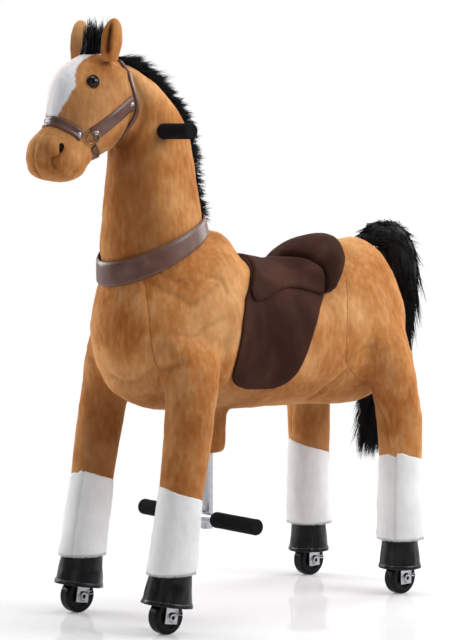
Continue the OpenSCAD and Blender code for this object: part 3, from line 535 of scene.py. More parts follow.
class Net:
    """Shader tree made from nothing, with short calls for its nodes."""

    def __init__(self, owner):
        owner.use_nodes = True
        self.tree = owner.node_tree
        self.tree.nodes.clear()

    def node(self, kind, inputs=(), **settings):
        """Outputs of a new node, whose inputs are values or other nodes' outputs."""
        made = self.tree.nodes.new("ShaderNode" + kind)
        for key, value in settings.items():
            setattr(made, key, value)
        for socket, value in dict(inputs).items():
            if hasattr(value, "is_output"):
                self.tree.links.new(value, made.inputs[socket])
            else:
                made.inputs[socket].default_value = value
        return made.outputs

    def ramp(self, value, stops):
        made = self.tree.nodes.new("ShaderNodeValToRGB")
        bar = made.color_ramp
        while len(bar.elements) < len(stops):
            bar.elements.new(0.5)
        for element, (place, colour) in zip(bar.elements, stops):
            element.position = place
            element.color = colour
        self.tree.links.new(value, made.inputs["Fac"])
        return made.outputs["Color"]


class Paint(Net):
    """Procedural material round one principled shader."""

    def __init__(self, name, specular, **sockets):
        self.material = bpy.data.materials.new(name)
        super().__init__(self.material)
        self.sockets = {socket.replace("_", " "): value for socket, value in sockets.items()}
        self.sockets["Specular IOR Level"] = specular

    def noise(self, scale, detail=3.0, stretch=(1, 1, 1)):
        place = self.node("TexCoord")["Object"]
        move = self.node("Mapping", {"Vector": place, "Scale": stretch})["Vector"]
        return self.node("TexNoise", {"Vector": move, "Scale": scale, "Detail": detail})["Fac"]

    def cells(self, scale):
        place = self.node("TexCoord")["Object"]
        return self.node("TexVoronoi", {"Vector": place, "Scale": scale})["Distance"]

    def pattern(self, what):
        """Cells where one number is given, and noise where there are more."""
        return self.noise(*what) if isinstance(what, tuple) else self.cells(what)

    def shades(self, value, *stops):
        """Ramp of sRGB colours, each with its place first."""
        return self.ramp(value, [(place, ink(*colour)) for place, *colour in stops])

    def mix(self, share, a, b):
        return self.node("Mix", {0: share, 6: a, 7: b}, data_type="RGBA")[2]

    def attribute(self, name):
        return self.node("Attribute", attribute_name=name)["Fac"]

    def bump(self, height, strength, depth, under=None):
        inputs = {"Strength": strength, "Distance": depth * MM, "Height": height}
        if under is not None:
            inputs["Normal"] = under
        return self.node("Bump", inputs)["Normal"]

    def finish(self, colour, rough, normal=None):
        for socket, value in (("Base Color", colour), ("Roughness", rough), ("Normal", normal)):
            if value is not None:
                self.sockets[socket] = value
        shader = self.node("BsdfPrincipled", self.sockets)["BSDF"]
        self.node("OutputMaterial", {"Surface": shader})
        return self.material


def surface(name, specular, tone, stops, rough, bumps=(), **sockets):
    """Material whose colour and roughness follow one pattern, with bumps laid over each other."""
    p = Paint(name, specular, **sockets)
    value = p.pattern(tone)
    shine = rough
    if isinstance(rough, tuple):
        shine = p.ramp(value, [(0.3, grey(rough[0])), (0.7, grey(rough[1]))])
    normal = None
    for height, strength, depth in bumps:
        normal = p.bump(p.pattern(height), strength, depth, normal)
    return p.finish(p.shades(value, *stops), shine, normal)


def pile(name, dark, middle, light, sheen, line, marked=False):
    """Short plush: patches where the nap lies another way, streaks along it, and a fine pile."""
    p = Paint(name, 0.08, Sheen_Weight=sheen, Sheen_Roughness=0.4, Sheen_Tint=ink(*light))
    streaks = p.noise(60, 3, (2.0, 2.0, 0.7))
    colour = p.shades(p.noise(6, 1.5), (0.38, *dark), (0.50, *middle), (0.62, *light))
    patches = p.shades(p.noise(19, 3), (0.38, *dark), (0.50, *middle), (0.62, *light))
    colour = p.mix(0.42, colour, patches)
    colour = p.mix(0.26, colour, p.shades(streaks, (0.36, *dark), (0.50, *middle), (0.66, *light)))
    if marked:
        blaze_tone = p.shades(streaks, (0.3, 232, 234, 238), (0.7, 241, 242, 245))
        colour = p.mix(p.attribute("white"), colour, blaze_tone)
    # Painted shade in folds, hollows and under things, and dark seams, in the line colour where the shade
    # attribute says
    colour = p.mix(p.attribute("shade"), colour, ink(*line))
    fine = p.bump(p.noise(420, 2, (1, 1, 0.45)), 0.4, 1.2)
    return p.finish(colour, 0.9, p.bump(streaks, 0.15, 2, fine))


# The last colour is that of the painted shade and the seams
plush = pile("plush", (152, 89, 41), (183, 122, 68), (211, 160, 108), 0.9, (84, 42, 16), marked=True)
white_pile = pile("white_plush", (218, 218, 218), (227, 227, 227), (235, 235, 236), 0.1, (150, 149, 148))
hair = surface("dark_hair", 0.22, (90, 3, (2, 2, 0.5)), [(0.3, 6, 6, 7), (0.55, 13, 13, 14),
                                                         (0.8, 30, 30, 32)],
               0.6, [((500, 2, (2, 2, 0.3)), 0.4, 1)])

nap = Paint("suede", 0.06, Sheen_Weight=0.12, Sheen_Roughness=0.5, Sheen_Tint=ink(120, 88, 78))
nap_tone = nap.shades(nap.noise(18, 3, (1, 1, 0.5)), (0.36, 44, 25, 19), (0.5, 56, 34, 27),
                      (0.66, 72, 46, 37))
nap_fine = nap.noise(700, 2)
nap_speck = nap.shades(nap_fine, (0.3, 46, 27, 21), (0.7, 74, 47, 38))
suede = nap.finish(nap.mix(0.2, nap_tone, nap_speck), 0.9, nap.bump(nap_fine, 0.3, 0.6))

leather = surface("strap_leather", 0.5, (40, 4), [(0.3, 78, 46, 36), (0.55, 94, 59, 46), (0.75, 112, 74, 60)],
                  (0.38, 0.5), [(900, 0.2, 0.4)], Coat_Weight=0.25, Coat_Roughness=0.25)
boot = surface("hoof_leather", 0.32, (55, 5), [(0.3, 5, 5, 6), (0.6, 9, 9, 10), (0.8, 14, 14, 16)],
               (0.24, 0.38), [((45, 3), 0.5, 3), (620, 0.2, 0.4)])
steel = surface("brushed_steel", 0.5, (40, 3, (1, 1, 6)), [(0.3, 176, 177, 181), (0.7, 192, 193, 197)],
                (0.27, 0.33), Metallic=1.0)
foam = surface("foam", 0.1, 800, [(0.0, 10, 10, 11), (0.5, 24, 24, 26), (1.0, 34, 34, 36)], 0.95,
               [(800, 0.5, 0.5)])
rubber = surface("tyre_rubber", 0.14, (60, 4), [(0.3, 9, 9, 9), (0.7, 16, 16, 17)], (0.26, 0.40),
                 [((600, 2), 0.12, 0.3)])
core = surface("wheel_core_plastic", 0.16, (80, 3), [(0.3, 14, 14, 15), (0.7, 24, 24, 26)], (0.34, 0.46),
               [((900, 2), 0.1, 0.2)])
GRAIN = (20, 6, (1, 9, 9))
wood = surface("wood", 0.3, GRAIN, [(0.3, 170, 128, 82), (0.6, 206, 172, 124), (0.8, 220, 192, 150)],
               (0.5, 0.7), [(GRAIN, 0.2, 0.4)])
eye = surface("eye_gloss", 0.28, (220, 2), [(0.3, 8, 5, 4), (0.7, 20, 11, 8)], 0.05)
eye_rim = surface("eye_rim", 0.2, (300, 2), [(0.3, 58, 28, 12), (0.7, 88, 48, 24)], 0.5)
bronze = surface("ring_bronze", 0.5, (200, 3), [(0.3, 120, 88, 66), (0.7, 172, 136, 108)], (0.2, 0.32),
                 Metallic=1.0)
thread = surface("thread", 0.5, (1200, 2), [(0.3, 96, 96, 98), (0.7, 140, 140, 142)], 0.8)
seam_thread = surface("seam_thread", 0.05, (500, 2), [(0.3, 112, 66, 30), (0.7, 146, 92, 48)], 0.9)
dark_felt = surface("dark_felt", 0.1, (500, 3), [(0.3, 16, 10, 8), (0.7, 40, 24, 18)], 0.95)


def wear(obj, material):
    obj.data.materials.clear()
    obj.data.materials.append(material)
    return obj


def mark(obj, name, values):
    obj.data.attributes.new(name, "FLOAT", "POINT").data.foreach_set("value", np.asarray(values, np.float32))


def shaped(name, shape, material, body=None, node=None, waves=(), shade=None):
    """Closed piece in a material. Where given, it gets soft noise and dark places, stands for a node and
    rides on a body."""
    obj = wear(outward(build(name, *shape)), material)
    if waves:
        spots = coords(obj)
        put_coords(obj, spots + normals(obj) * swell(spots, waves)[:, None])
    if shade is not None:
        mark(obj, "shade", shade)
    if node:
        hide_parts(node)
    if body:
        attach(obj, body)
    return obj


def slimmed(rows, shares):
    """Rows drawn in about their middles."""
    made = rows.copy()
    for k in (0, 1):
        middle = (rows[:, k] + rows[:, k + 2]) / 2
        made[:, k] = middle + (rows[:, k] - middle) * shares
        made[:, k + 2] = middle + (rows[:, k + 2] - middle) * shares
    made[:, 4] = rows[:, 4] * shares
    return made


def drawn_in(spots, push, shade, lines, depth, width, tone, tone_width):
    """Press lines and their mirror images into a skin and darken them, as painted shade in folds or as dark seams,
    with sizes in millimetres.
    """
    gap = nearest(spots, curve_points(lines))[1]
    push -= depth * MM * bell(gap, width * MM)
    np.maximum(shade, tone * bell(gap, tone_width * MM), out=shade)


# Edges of the saddle's layers: angle from the top, first row and last row
FLAP_EDGE = [(0, 4.98, 8.05), (54, 4.04, 7.80), (66, 3.92, 7.42), (80, 4.10, 7.10), (93, 4.36, 6.88),
             (107, 4.58, 6.74), (116, 4.72, 6.66), (122, 4.88, 6.55), (126.5, 5.10, 6.40),
             (129.5, 5.42, 6.18)]
SKIRT_EDGE = [(0, 4.98, 7.52), (12, 4.90, 7.76), (22, 4.76, 7.98), (36, 4.42, 8.10), (46, 4.19, 7.94),
              (57, 4.03, 7.66), (66, 4.00, 7.50)]
ROLL_EDGE = [(0, 7.52, 9.50), (12, 7.78, 9.42), (22, 8.00, 9.26), (36, 8.12, 8.94), (46, 7.97, 8.52),
             (55, 7.76, 8.08)]
# Lower edge of the skirt: share of the way from front to rear, and angle from the top
SKIRT_LOW = np.array([(0.00, 60), (0.05, 64), (0.13, 65), (0.26, 61.5), (0.36, 56), (0.46, 50), (0.60, 46),
                      (0.74, 46.5), (0.86, 51), (0.95, 55), (1.00, 56)])


def edge_at(table, degrees, column):
    table = np.array(table)
    return np.interp(np.abs(degrees), table[:, 0], table[:, column])


# Body skin: trunk, legs and the sleeve of the foot bar's post
BODY_VOXEL = 3.1 * MM
BODY_ROUNDS = 22
collar_row = np.concatenate([row_at(neck_rows, 0.80)[:2], row_at(neck_rows, 0.35)[2:4],
                             [row_at(neck_rows, 0.56)[4], 0]])
body_rows = np.concatenate([[collar_row], trunk_rows])
ankle_shares = np.array([0.945] * 4 + [0.965, 0.99, 0.98] + [0.97] * 4)
legs = [loft(slimmed(leg_rows(c), ankle_shares), 6, 64) for c in corners]
post_x = (low("post_sleeve")[0] + high("post_sleeve")[0]) / 2
sleeve_d = span("post_sleeve")[0]
sleeve_low = low("post_sleeve")[2]
sleeve_rows = np.array([round_row(post_x, sleeve_low + z * MM, r * sleeve_d / 2, 0, r * sleeve_d / 2)
                        for z, r in ((0, 0.60), (5, 0.80), (48, 0.88), (90, 0.99), (118, 1.05))])
skin = remeshed("body_skin", [loft(body_rows, 8, 96), loft(sleeve_rows, 6, 48)] + legs, BODY_VOXEL,
                BODY_ROUNDS)

CHEST_SEAM = [(254, 60, 601), (258, 73, 552), (259, 81, 507), (255, 82, 468), (243, 82, 437), (232, 69, 408)]
CHEST_FOLD = [(236, 128, 452), (250, 95, 441), (264, 40, 416), (278, 0, 424)]
REAR_SEAM = [(-196, 62, 628), (-176, 99, 567), (-156, 121, 501), (-163, 113, 432), (-214, 93, 394),
             (-242, 104, 359), (-246, 124, 327), (-253, 132, 273)]
FLANK_FOLD = [(-167, 103, 410), (-147, 88, 389), (-128, 58, 365)]
HIP_FOLD = [(-163, 113, 432), (-186, 120, 448), (-215, 127, 458)]
CRUMPLES = [
    [(251, 65, 590), (233, 86, 574), (213, 103, 563), (197, 114, 551), (167, 120, 568), (147, 120, 580)],
    [(237, 72, 608), (213, 91, 589), (189, 98, 596)],
    [(229, 110, 503), (200, 123, 498), (173, 127, 513), (135, 130, 526)],
    [(159, 109, 596), (135, 117, 587), (126, 124, 568)]]
SOCK_TOP = 0.26
LEG_TOP = 0.44
spots = coords(skin)
away = normals(skin)
x, y, z = spots.T
calm = np.clip((z - SOCK_TOP) / 0.08, 0.2, 1)
push = swell(spots, [(2.4, 14, 3.1), (1.3, 38, 7.7), (0.5, 120, 1.3)]) * calm
shade = np.zeros(len(spots))
# Seams and folds pressed in: the seams darkened as dark joints, painted shade along the folds and crumples
for lines, depth, width, tone in (
        ([CHEST_SEAM, REAR_SEAM], 1.5, 5.0, 0.12), ([CHEST_FOLD], 5.0, 10.0, 0.35),
        ([FLANK_FOLD], 5.0, 9.0, 0.35), (CRUMPLES + [HIP_FOLD], 2.4, 6.0, 0.22)):
    drawn_in(spots, push, shade, lines, depth, width, tone, width * 0.7)
# Painted shade: the legs darker than the trunk, most of all on their inner sides, where the body shades them
inner = rise(leg_y + 10 * MM - np.abs(y), 40 * MM)
leg_painted_shade = np.where(x > 0, 0.18, 0.02) + 0.34 * inner
shade = np.maximum(shade, rise(LEG_TOP - z, 0.08) * leg_painted_shade)
# The plush stands up in front of the saddle's front edge, but not over the withers
turn = np.linspace(-122, 122, 245)
front_edge = ring_point(row_at(trunk_rows, edge_at(FLAP_EDGE, turn, 1)), np.radians(turn), 0)
near, gap = nearest(spots, front_edge)
beside = rise(np.abs(y) - 70 * MM, 40 * MM) * (x > near[:, 0]) * rise(hinge[2] + 35 * MM - z, 50 * MM)
push += 5 * MM * beside * bell(gap - 17 * MM, 13 * MM)
put_coords(skin, spots + away * push[:, None])
wear(skin, plush)
mark(skin, "shade", shade)
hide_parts("chest", "rear_body", "front_leg_left", "front_leg_right", "rear_leg_left",
            "rear_leg_right", "post_sleeve")
skin_tree = tree_of(skin)
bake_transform(skin)


SEAM_WIDE = 1.0 * MM
SEAM_THICK = 0.3 * MM


def seam_lines(name, tree, lines, body):
    """Thin lines of stitching on a skin."""
    for i, line in enumerate(lines):
        piece, _, _ = strap(f"{name}_{i}", tree, line, SEAM_WIDE, SEAM_THICK, 90, lift=0.05 * MM, across=2)
        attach(wear(piece, seam_thread), body)


seam_lines("chest_seam", skin_tree, both_sides(CHEST_SEAM), "front_half")
seam_lines("rear_seam", skin_tree, both_sides(REAR_SEAM), "rear_half")

# Neck and head skin
HEAD_VOXEL = 2.7 * MM
HEAD_ROUNDS = 14
NECK_STEPS = 10
neck_u = np.arange((len(neck_rows) - 1) * NECK_STEPS + 1) / NECK_STEPS
inset = -3.0 * MM * rise(0.95 - neck_u, 0.35)
face = remeshed("head_skin", [loft(neck_rows, NECK_STEPS, 96, inset[:, None]), loft(head_rows, 10, 96)],
                HEAD_VOXEL, HEAD_ROUNDS)
MOUTH = [(385, 45, 772), (404, 42, 777), (420, 36, 783), (431, 22, 789), (435, 0, 792)]
NOSE_SEAM = [(408, 0, 848), (424, 0, 836), (437, 0, 820), (441, 0, 800), (437, 0, 782), (424, 0, 768)]
NOSTRIL = [(413, 43, 812), (414, 42, 806)]
NOSE_FOLD = [(414, 42, 808), (421, 43, 799), (429, 36, 794), (424, 39, 780)]
JOWL = [(263, 44, 925), (257, 46, 909), (248, 47, 882), (249, 44, 856), (257, 36, 837), (266, 23, 822),
        (274, 2, 810)]
HOLLOW = [(318, 46, 925), (338, 44, 900), (356, 40, 880), (374, 36, 862)]
THROAT = [(276, 26, 815), (264, 48, 765), (252, 57, 705), (247, 64, 650)]
NOSE_ROW = 4.98
MUZZLE_ROW = 6.8
EYE_ROW = 2.15
EYE_TURN = 57
spots = coords(face)
away = normals(face)
x, y, z = spots.T
push = swell(spots, [(1.4, 17, 5.1), (0.8, 45, 2.7), (0.4, 140, 1.9)])
# Painted shade over the front of the muzzle
shade = 0.16 * rise(x - 0.35, 0.05) * (z < 0.86)
# Painted shade in the hollow below the eye, a painted shadow down the throat under the head, and the mouth, nose
# seam, nostrils and their folds pressed in and darkened along them
for line, depth, width, tone, tone_width in (
        (HOLLOW, 0, 30, 0.32, 30), (THROAT, 0, 40, 0.55, 40), (MOUTH, 3.5, 4.5, 0.40, 3.6),
        (NOSE_SEAM, 1.5, 4.0, 0.25, 3.6), (NOSTRIL, 4.0, 6.0, 0.6, 3.6), (NOSE_FOLD, 3.0, 4.5, 0.7, 3.6)):
    drawn_in(spots, push, shade, [line], depth, width, tone, tone_width)
# The jowl stands out from the neck, with painted shade in its crease and a painted shadow on the neck behind it,
# and the muzzle stands out from the noseband's groove
near, gap = nearest(spots, curve_points([JOWL]))
head_middle = np.array([head_back + 0.45 * head_l, chin_z + 0.55 * head_h])
spot_reach, line_reach = (np.linalg.norm(p[:, ::2] - head_middle, axis=1) for p in (spots, near))
behind = spot_reach > line_reach
push -= 5 * MM * bell(gap, 8 * MM)
push += 4 * MM * ~behind * bell(gap - 20 * MM, 13 * MM)
shade = np.maximum(shade, 0.35 * bell(gap, 6 * MM))
shade = np.maximum(shade, 0.30 * behind * bell(gap, 24 * MM))
for u, height, width in ((NOSE_ROW, -3, 8), (MUZZLE_ROW, 3, 15)):
    gap = nearest(spots, ring_point(row_at(head_rows, u), np.linspace(0, 2 * math.pi, 180), 0))[1]
    push += height * MM * bell(gap, width * MM)
eye_row = row_at(head_rows, EYE_ROW)
eye_middle = np.array([(eye_row[0] + eye_row[2]) / 2, 0, (eye_row[1] + eye_row[3]) / 2])
eye_spots = np.array([ring_point(eye_row, math.radians(side * EYE_TURN), -eye_d / 5) for side in (1, -1)])
eye_away = unit(eye_spots - eye_middle)
# Sockets pressed in round the eyes, with painted shade in them
for p in eye_spots:
    gap = np.linalg.norm(spots - p, axis=1)
    push -= 2.5 * MM * bell(gap, 13 * MM)
    shade = np.maximum(shade, 0.6 * np.exp(-(gap / (14 * MM)) ** 4))
# Painted shade on the plush round the grips, darkest below them
grip_spot = (low("grip_left") + high("grip_left")) / 2
gap = np.hypot(x - grip_spot[0] - 4 * MM, z - grip_spot[2] + 10 * MM)
shade = np.maximum(shade, 0.5 * (np.abs(y) > neck_w / 5) * bell(gap, 18 * MM))
put_coords(face, spots + away * push[:, None])
# White blaze: half its width at heights up the face
blaze_z = np.array([852, 863, 888, 914, 929, 945, 959, 966, 985]) * MM
blaze_half = np.array([10, 14, 27, 35, 29, 22, 18, 16, 12]) * MM
blaze_edge = np.interp(z, blaze_z, blaze_half) + swell(spots, [(1.5, 160, 4.4)]) - np.abs(y)
blaze = np.clip(blaze_edge / (2.5 * MM) + 0.5, 0, 1) * (away[:, 0] + 0.5 * away[:, 2] > 0.1)
blaze *= rise(z - blaze_z[0], 3 * MM) * (x > head_back + 0.25 * head_l)
mark(face, "white", blaze)
mark(face, "shade", shade)
wear(face, plush)
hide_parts("neck", "head")
face_tree = tree_of(face)
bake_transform(face)
seam_lines("nose_seam", face_tree, [np.array(NOSE_SEAM) * MM], "neck")

# Ears: a folded oval with a slit at its front
EAR_RINGS = 48
EAR_SIDES = 64
EAR_TURN = 34
EAR_SHAPE = [[0.00, 0.36, 0.50], [0.30, 0.50, 0.62], [0.60, 0.50, 0.60], [0.80, 0.41, 0.50],
             [0.92, 0.27, 0.34], [0.98, 0.14, 0.18], [1.00, 0.03, 0.03]]
ear_parts = []
ear_shade = []
angle = turns(EAR_SIDES)
up, deep, broad = np.split(smooth(EAR_SHAPE, EAR_RINGS), 3, 1)
for side in (1, -1):
    off = turn_from(angle, side * math.radians(EAR_TURN))[None, :]
    slit = bell(off, 0.40) * (rise(0.90 - up, 0.15) * rise(up - 0.12, 0.15))
    lip = 1 + 0.10 * bell(np.abs(off) - 0.60, 0.25)
    reach = (1 - 0.66 * slit) * lip
    ear_points = np.stack([
        ear_x - 0.10 * up * ear_h + deep * ear_w * np.cos(angle) * reach,
        side * (ear_gap / 2 + 0.05 * up * ear_h) + broad * ear_w / 2 * np.sin(angle) * reach,
        np.repeat(ear_z + up * ear_h, EAR_SIDES, 1)], -1).reshape(-1, 3)
    ear_parts.append((ear_points, tube_faces(EAR_RINGS, EAR_SIDES)))
    # Painted shade inside the slit
    ear_shade.append(np.clip(1.1 * slit.ravel(), 0, 0.85))
shaped("ears_plush", joined(ear_parts), plush, "neck", "ears", [(0.8, 60, 3.3)],
       np.concatenate(ear_shade))

# Eyes and nostrils
DOME = [(0.02, -0.50), (0.24, -0.44), (0.40, -0.30), (0.49, -0.10), (0.50, 0.02), (0.47, 0.18), (0.40, 0.31),
        (0.29, 0.41), (0.16, 0.475), (0.02, 0.50)]
NOSTRIL_SHAPE = np.array([(0.3, -2.5), (4.2, -2.0), (5.0, 0.0), (4.2, 1.2), (2.2, 1.7), (0.2, 1.8)])
dome = lathe(smooth(DOME, 40) * eye_d, 48)
rim = torus(eye_d * 0.52, 1.8 * MM, 48, eye_d * 0.10)
eye_places = list(zip(eye_away, eye_spots))
shaped("eye_domes", joined([aimed(dome, *place) for place in eye_places]), eye, "neck", "eyes")
shaped("eye_rims", joined([aimed(rim, *place) for place in eye_places]), eye_rim, "neck")
parts = []
for line in both_sides(NOSTRIL):
    spot, direction = on_skin(face_tree, line[:1], 0)
    p, f = aimed(lathe(NOSTRIL_SHAPE * MM, 32), direction[0], spot[0])
    p[:, 2] = spot[0, 2] + (p[:, 2] - spot[0, 2]) * 1.7
    parts.append((p, f))
shaped("nostrils", joined(parts), dark_felt, "neck")


# White socks: the top edge slants round the leg from its seam
def leg_place(corner, z, r, turn):
    """Places round a leg's axis at some heights, radii and angles."""
    z, r, turn = np.broadcast_arrays(z, r, turn)
    x = corner.spot[0] - (z - axle_z) / math.cos(corner.tilt) * math.sin(corner.tilt)
    return np.stack([x + r * np.cos(turn), corner.spot[1] + r * np.sin(turn), z], -1)


SOCK_SIDES = 96
SOCK_RINGS = 48
LINING_RINGS = 12
FIBRES = 1500
angle = turns(SOCK_SIDES)
up = np.linspace(0, 1, SOCK_RINGS)
share = np.concatenate([up, np.linspace(1, 0, LINING_RINGS)])
out = np.concatenate([np.interp(up, [0, 0.02, 0.06, 0.5, 0.9, 0.97, 1], [2.0, 4.0, 4.6, 2.4, 1.4, 1.0, 0.0]),
                      np.full(LINING_RINGS, -4.0)]) * MM
bottom = axle_z + hoof_top + 1.5 * MM
for c in corners:
    sock_r = c.sock_d / 2
    peak = (252 if c.front else 265) * MM
    off = turn_from(angle, math.radians(-25 if c.front else 32) * c.side)
    ragged = np.array([field.noise(Vector((math.cos(a) * 9 + c.side, math.sin(a) * 9, 3.0 + c.spot[0])))
                       for a in angle])
    top = peak - np.degrees(np.abs(off)) * 0.19 * MM + 0.8 * MM * ragged
    z = bottom + share[:, None] * (top[None, :] - bottom)
    groove = bell(off, 0.04)
    points = leg_place(c, z, sock_r + out[:, None] - 0.8 * MM * groove[None, :], angle[None, :])
    sock = points.reshape(-1, 3), loop_faces(len(share), SOCK_SIDES)
    shaped("sock_" + c.name, sock, white_pile, c.body,
           waves=[(1.7, 24, 2.2), (0.7, 70, 6.2)], shade=np.tile(0.35 * groove, len(share)))
    # Short loose fibres along the sock's lower edge
    root_z = bottom + dice.uniform(0.0, 2.5, FIBRES) * MM
    root_turn = dice.uniform(0, 2 * math.pi, FIBRES)
    length = dice.uniform(2.0, 4.0, FIBRES) * MM
    stand = dice.uniform(2.6, 4.2, FIBRES) * MM
    sway = dice.normal(0, 0.04, FIBRES)
    roots = leg_place(c, root_z, sock_r, root_turn)
    mids = leg_place(c, root_z - length * 0.4, sock_r + stand, root_turn + sway * 0.4)
    tips = leg_place(c, root_z - length, sock_r + stand * 1.2, root_turn + sway)
    fluff = strands(roots, mids, tips, np.full(FIBRES, 0.5 * MM), 2)
    shaped("sock_fluff_" + c.name, fluff, white_pile, c.body)

# Hooves: leather boots with a hem, stitches, creases and a dent
BOOT = [(0.40, 0.62), (0.80, 0.60), (0.895, 0.50), (0.925, 0.05), (0.945, 0.0), (1.0, 0.005), (1.005, 0.05),
        (0.985, 0.10), (0.965, 0.125), (0.95, 0.16), (0.915, 0.40), (0.875, 0.65), (0.842, 0.88),
        (0.82, 1.00), (0.79, 1.05), (0.74, 1.06), (0.40, 1.05)]
DENT_AT = {"front_left": 47, "front_right": -40, "rear_left": 15, "rear_right": 64}
STITCHES = 44
boot_h = span("rear_hoof_left")[2]
boot_low = low("rear_hoof_left")[2] - axle_z
fine = smooth(BOOT, 96)
stitch = lathe(np.array([(0.1, -1.6), (0.3, -1.2), (0.4, 0), (0.3, 1.2), (0.1, 1.6)]) * MM, 8)
for c in corners:
    boot_r = c.hoof_d / 2
    p, f = lathe(np.stack([fine[:, 0] * boot_r, boot_low + fine[:, 1] * boot_h], 1), 96)
    angle = np.arctan2(p[:, 1], p[:, 0])
    share = rise(p[:, 2] - boot_low, boot_h)
    r = np.hypot(p[:, 0], p[:, 1])
    outer = r > 0.7 * boot_r
    off = turn_from(angle, math.radians(DENT_AT[c.name]))
    dent = 3.4 * MM * bell(off, 0.15) * np.clip(1 - share * 0.7, 0, 1)
    at = c.spot[0] * 9 + c.spot[1] * 7
    crease = 1.5 * MM * np.array([field.noise(Vector((math.cos(a) * 2.4, math.sin(a) * 2.4, s * 2 + at)))
                                  for a, s in zip(angle, share)])
    p[:, :2] *= (1 - outer * (dent + crease) / np.maximum(r, 1 * MM))[:, None]
    cos, sin = math.cos(c.tilt), math.sin(c.tilt)
    lean = np.array([[cos, 0, -sin], [0, 1, 0], [sin, 0, cos]])
    shaped("boot_" + c.name, (p @ lean.T + c.spot, f), boot, c.body, c.name.replace("_", "_hoof_"))
    parts = []
    for k in range(STITCHES):
        a = (k + 0.5) * 2 * math.pi / STITCHES
        at = (math.cos(a) * boot_r * 0.972, math.sin(a) * boot_r * 0.972, boot_low + 0.13 * boot_h)
        parts.append(aimed(stitch, (-math.sin(a), math.cos(a), 0), at))
    p, f = joined(parts)
    shaped("boot_stitches_" + c.name, (p @ lean.T + c.spot, f), thread, c.body)

# Washers, dished bolt ends and split pins on the axles
axle_half = high("rear_axles")[1] - leg_y
fork_half = high("rear_fork_left")[1] - leg_y
washer = lathe(np.array([(0.1, -0.5), (9.0, -0.5), (9.0, 0.9), (0.1, 0.9)]) * MM, 36)
bolt_end = lathe(np.array([(0.1, -0.5), (4.0, -0.5), (4.0, 0.2), (0.1, 0.2)]) * MM, 6)
for c in corners:
    pins, ends = [], []
    for side in (1, -1):
        end_spot = c.spot + np.array([0, side * axle_half, 0])
        pins.append(aimed(washer, (0, side, 0), c.spot + np.array([0, side * fork_half, 0])))
        ends.append(aimed(bolt_end, (0, side, 0), end_spot))
        root = end_spot + np.array([-4, -side * 1.5, 4]) * MM
        for x, y, z in ((-13, 2.0, 5), (-14, 3.5, -1)):
            way = np.array([x, side * y, z]) * MM
            prong = [(0.6 * MM, 0), (0.9 * MM, 0.5 * MM), (0.9 * MM, np.linalg.norm(way))]
            pins.append(aimed(lathe(prong, 12), way, root))
    body = c.name.replace("_", "_fork_") if c.front else "rear_half"
    shaped("axle_pins_" + c.name, joined(pins), steel, body)
    shaped("axle_ends_" + c.name, joined(ends), core, body)

# Foam sleeves on both bars
GRIP_TUCK = 8 * MM
inner_r = span("handlebar")[2] / 2 + 0.3 * MM
for node, body in (("grip_left", "neck"), ("grip_right", "neck"), ("pedal_foam_left", "front_half"),
                   ("pedal_foam_right", "front_half")):
    a, b = low(node), high(node)
    r = (b[2] - a[2]) / 2
    tuck = GRIP_TUCK if "grip" in node else 0
    length = b[1] - a[1] + tuck
    profile = [(inner_r, 0.6 * r), (inner_r + 0.4 * MM, 0.08 * r), (0.80 * r, 0), (0.93 * r, 0.10 * r),
               (r, 0.34 * r), (r, 0.8 * r), (r * 0.995, length / 2), (r, length - 0.8 * r),
               (r, length - 0.2 * r), (0.95 * r, length - 0.05 * r), (0.88 * r, length), (0.30 * r, length),
               (0.05 * r, length)]
    p, f = lathe(smooth(profile, 90), 64)
    p = p + p * [1, 1, 0] / r * swell(p, [(0.25, 90, 4)])[:, None]
    side = 1 if "left" in node else -1
    inner_y = (a[1] if side > 0 else b[1]) - side * tuck
    middle = (a + b) / 2
    p = np.stack([middle[0] + p[:, 0], inner_y + side * p[:, 2], middle[2] + p[:, 1]], 1)
    shaped("foam_" + node, (p, f), foam, body, node)


# Saddle in three padded layers
def layer(u, angle, lift, thick, edge_share, power):
    """Padded layer on the trunk over a grid of rows and angles, thin at its rounded edge."""
    rows, columns = u.shape[0] - 1, u.shape[1] - 1
    r = np.linspace(0, 1, rows + 1)[:, None]
    k = np.linspace(0, 1, columns + 1)[None, :]
    base = ring_point(row_at(trunk_rows, u), np.radians(angle), lift)
    away = unit(ring_point(row_at(trunk_rows, u), np.radians(angle), lift + 5 * MM) - base)
    near, direction = on_skin(skin_tree, base, 0)
    gap = ((base - near) * direction).sum(2)
    base = soften(base + away * np.clip(lift - gap, 0, None)[..., None], 2)
    rim = np.minimum(np.minimum(r, 1 - r) * rows, np.minimum(k, 1 - k) * columns)
    crown = (np.sin(math.pi * r) * np.sin(math.pi * k)) ** power
    depth = thick * (edge_share + (1 - edge_share) * crown) * np.clip(0.55 + 0.25 * rim, 0, 1)
    top = base + away * depth[..., None]
    number = np.arange(u.size).reshape(u.shape)
    edge = np.concatenate([number[0], number[1:, -1], number[-1, -2::-1], number[-2:0:-1, 0]])
    base, top, away = (grid.reshape(-1, 3) for grid in (base, top, away))
    low_edge, high_edge = base[edge], top[edge]
    ring = unit(np.cross(np.roll(low_edge, -1, 0) - np.roll(low_edge, 1, 0), away[edge]))
    belly = (low_edge + high_edge) / 2 + ring * 0.25 * np.linalg.norm(high_edge - low_edge, axis=1)[:, None]
    total = u.size
    across = columns + 1
    faces = []
    for a in number[:-1, :-1].ravel().tolist():
        faces.append((a, a + 1, a + 1 + across, a + across))
        faces.append((total + a, total + a + across, total + a + across + 1, total + a + 1))
    edge = edge.tolist()
    for i, a in enumerate(edge):
        following = (i + 1) % len(edge)
        b, m, o = edge[following], 2 * total + i, 2 * total + following
        faces.append((a, b, o, m))
        faces.append((m, o, total + b, total + a))
    return np.concatenate([base, top, belly]), faces


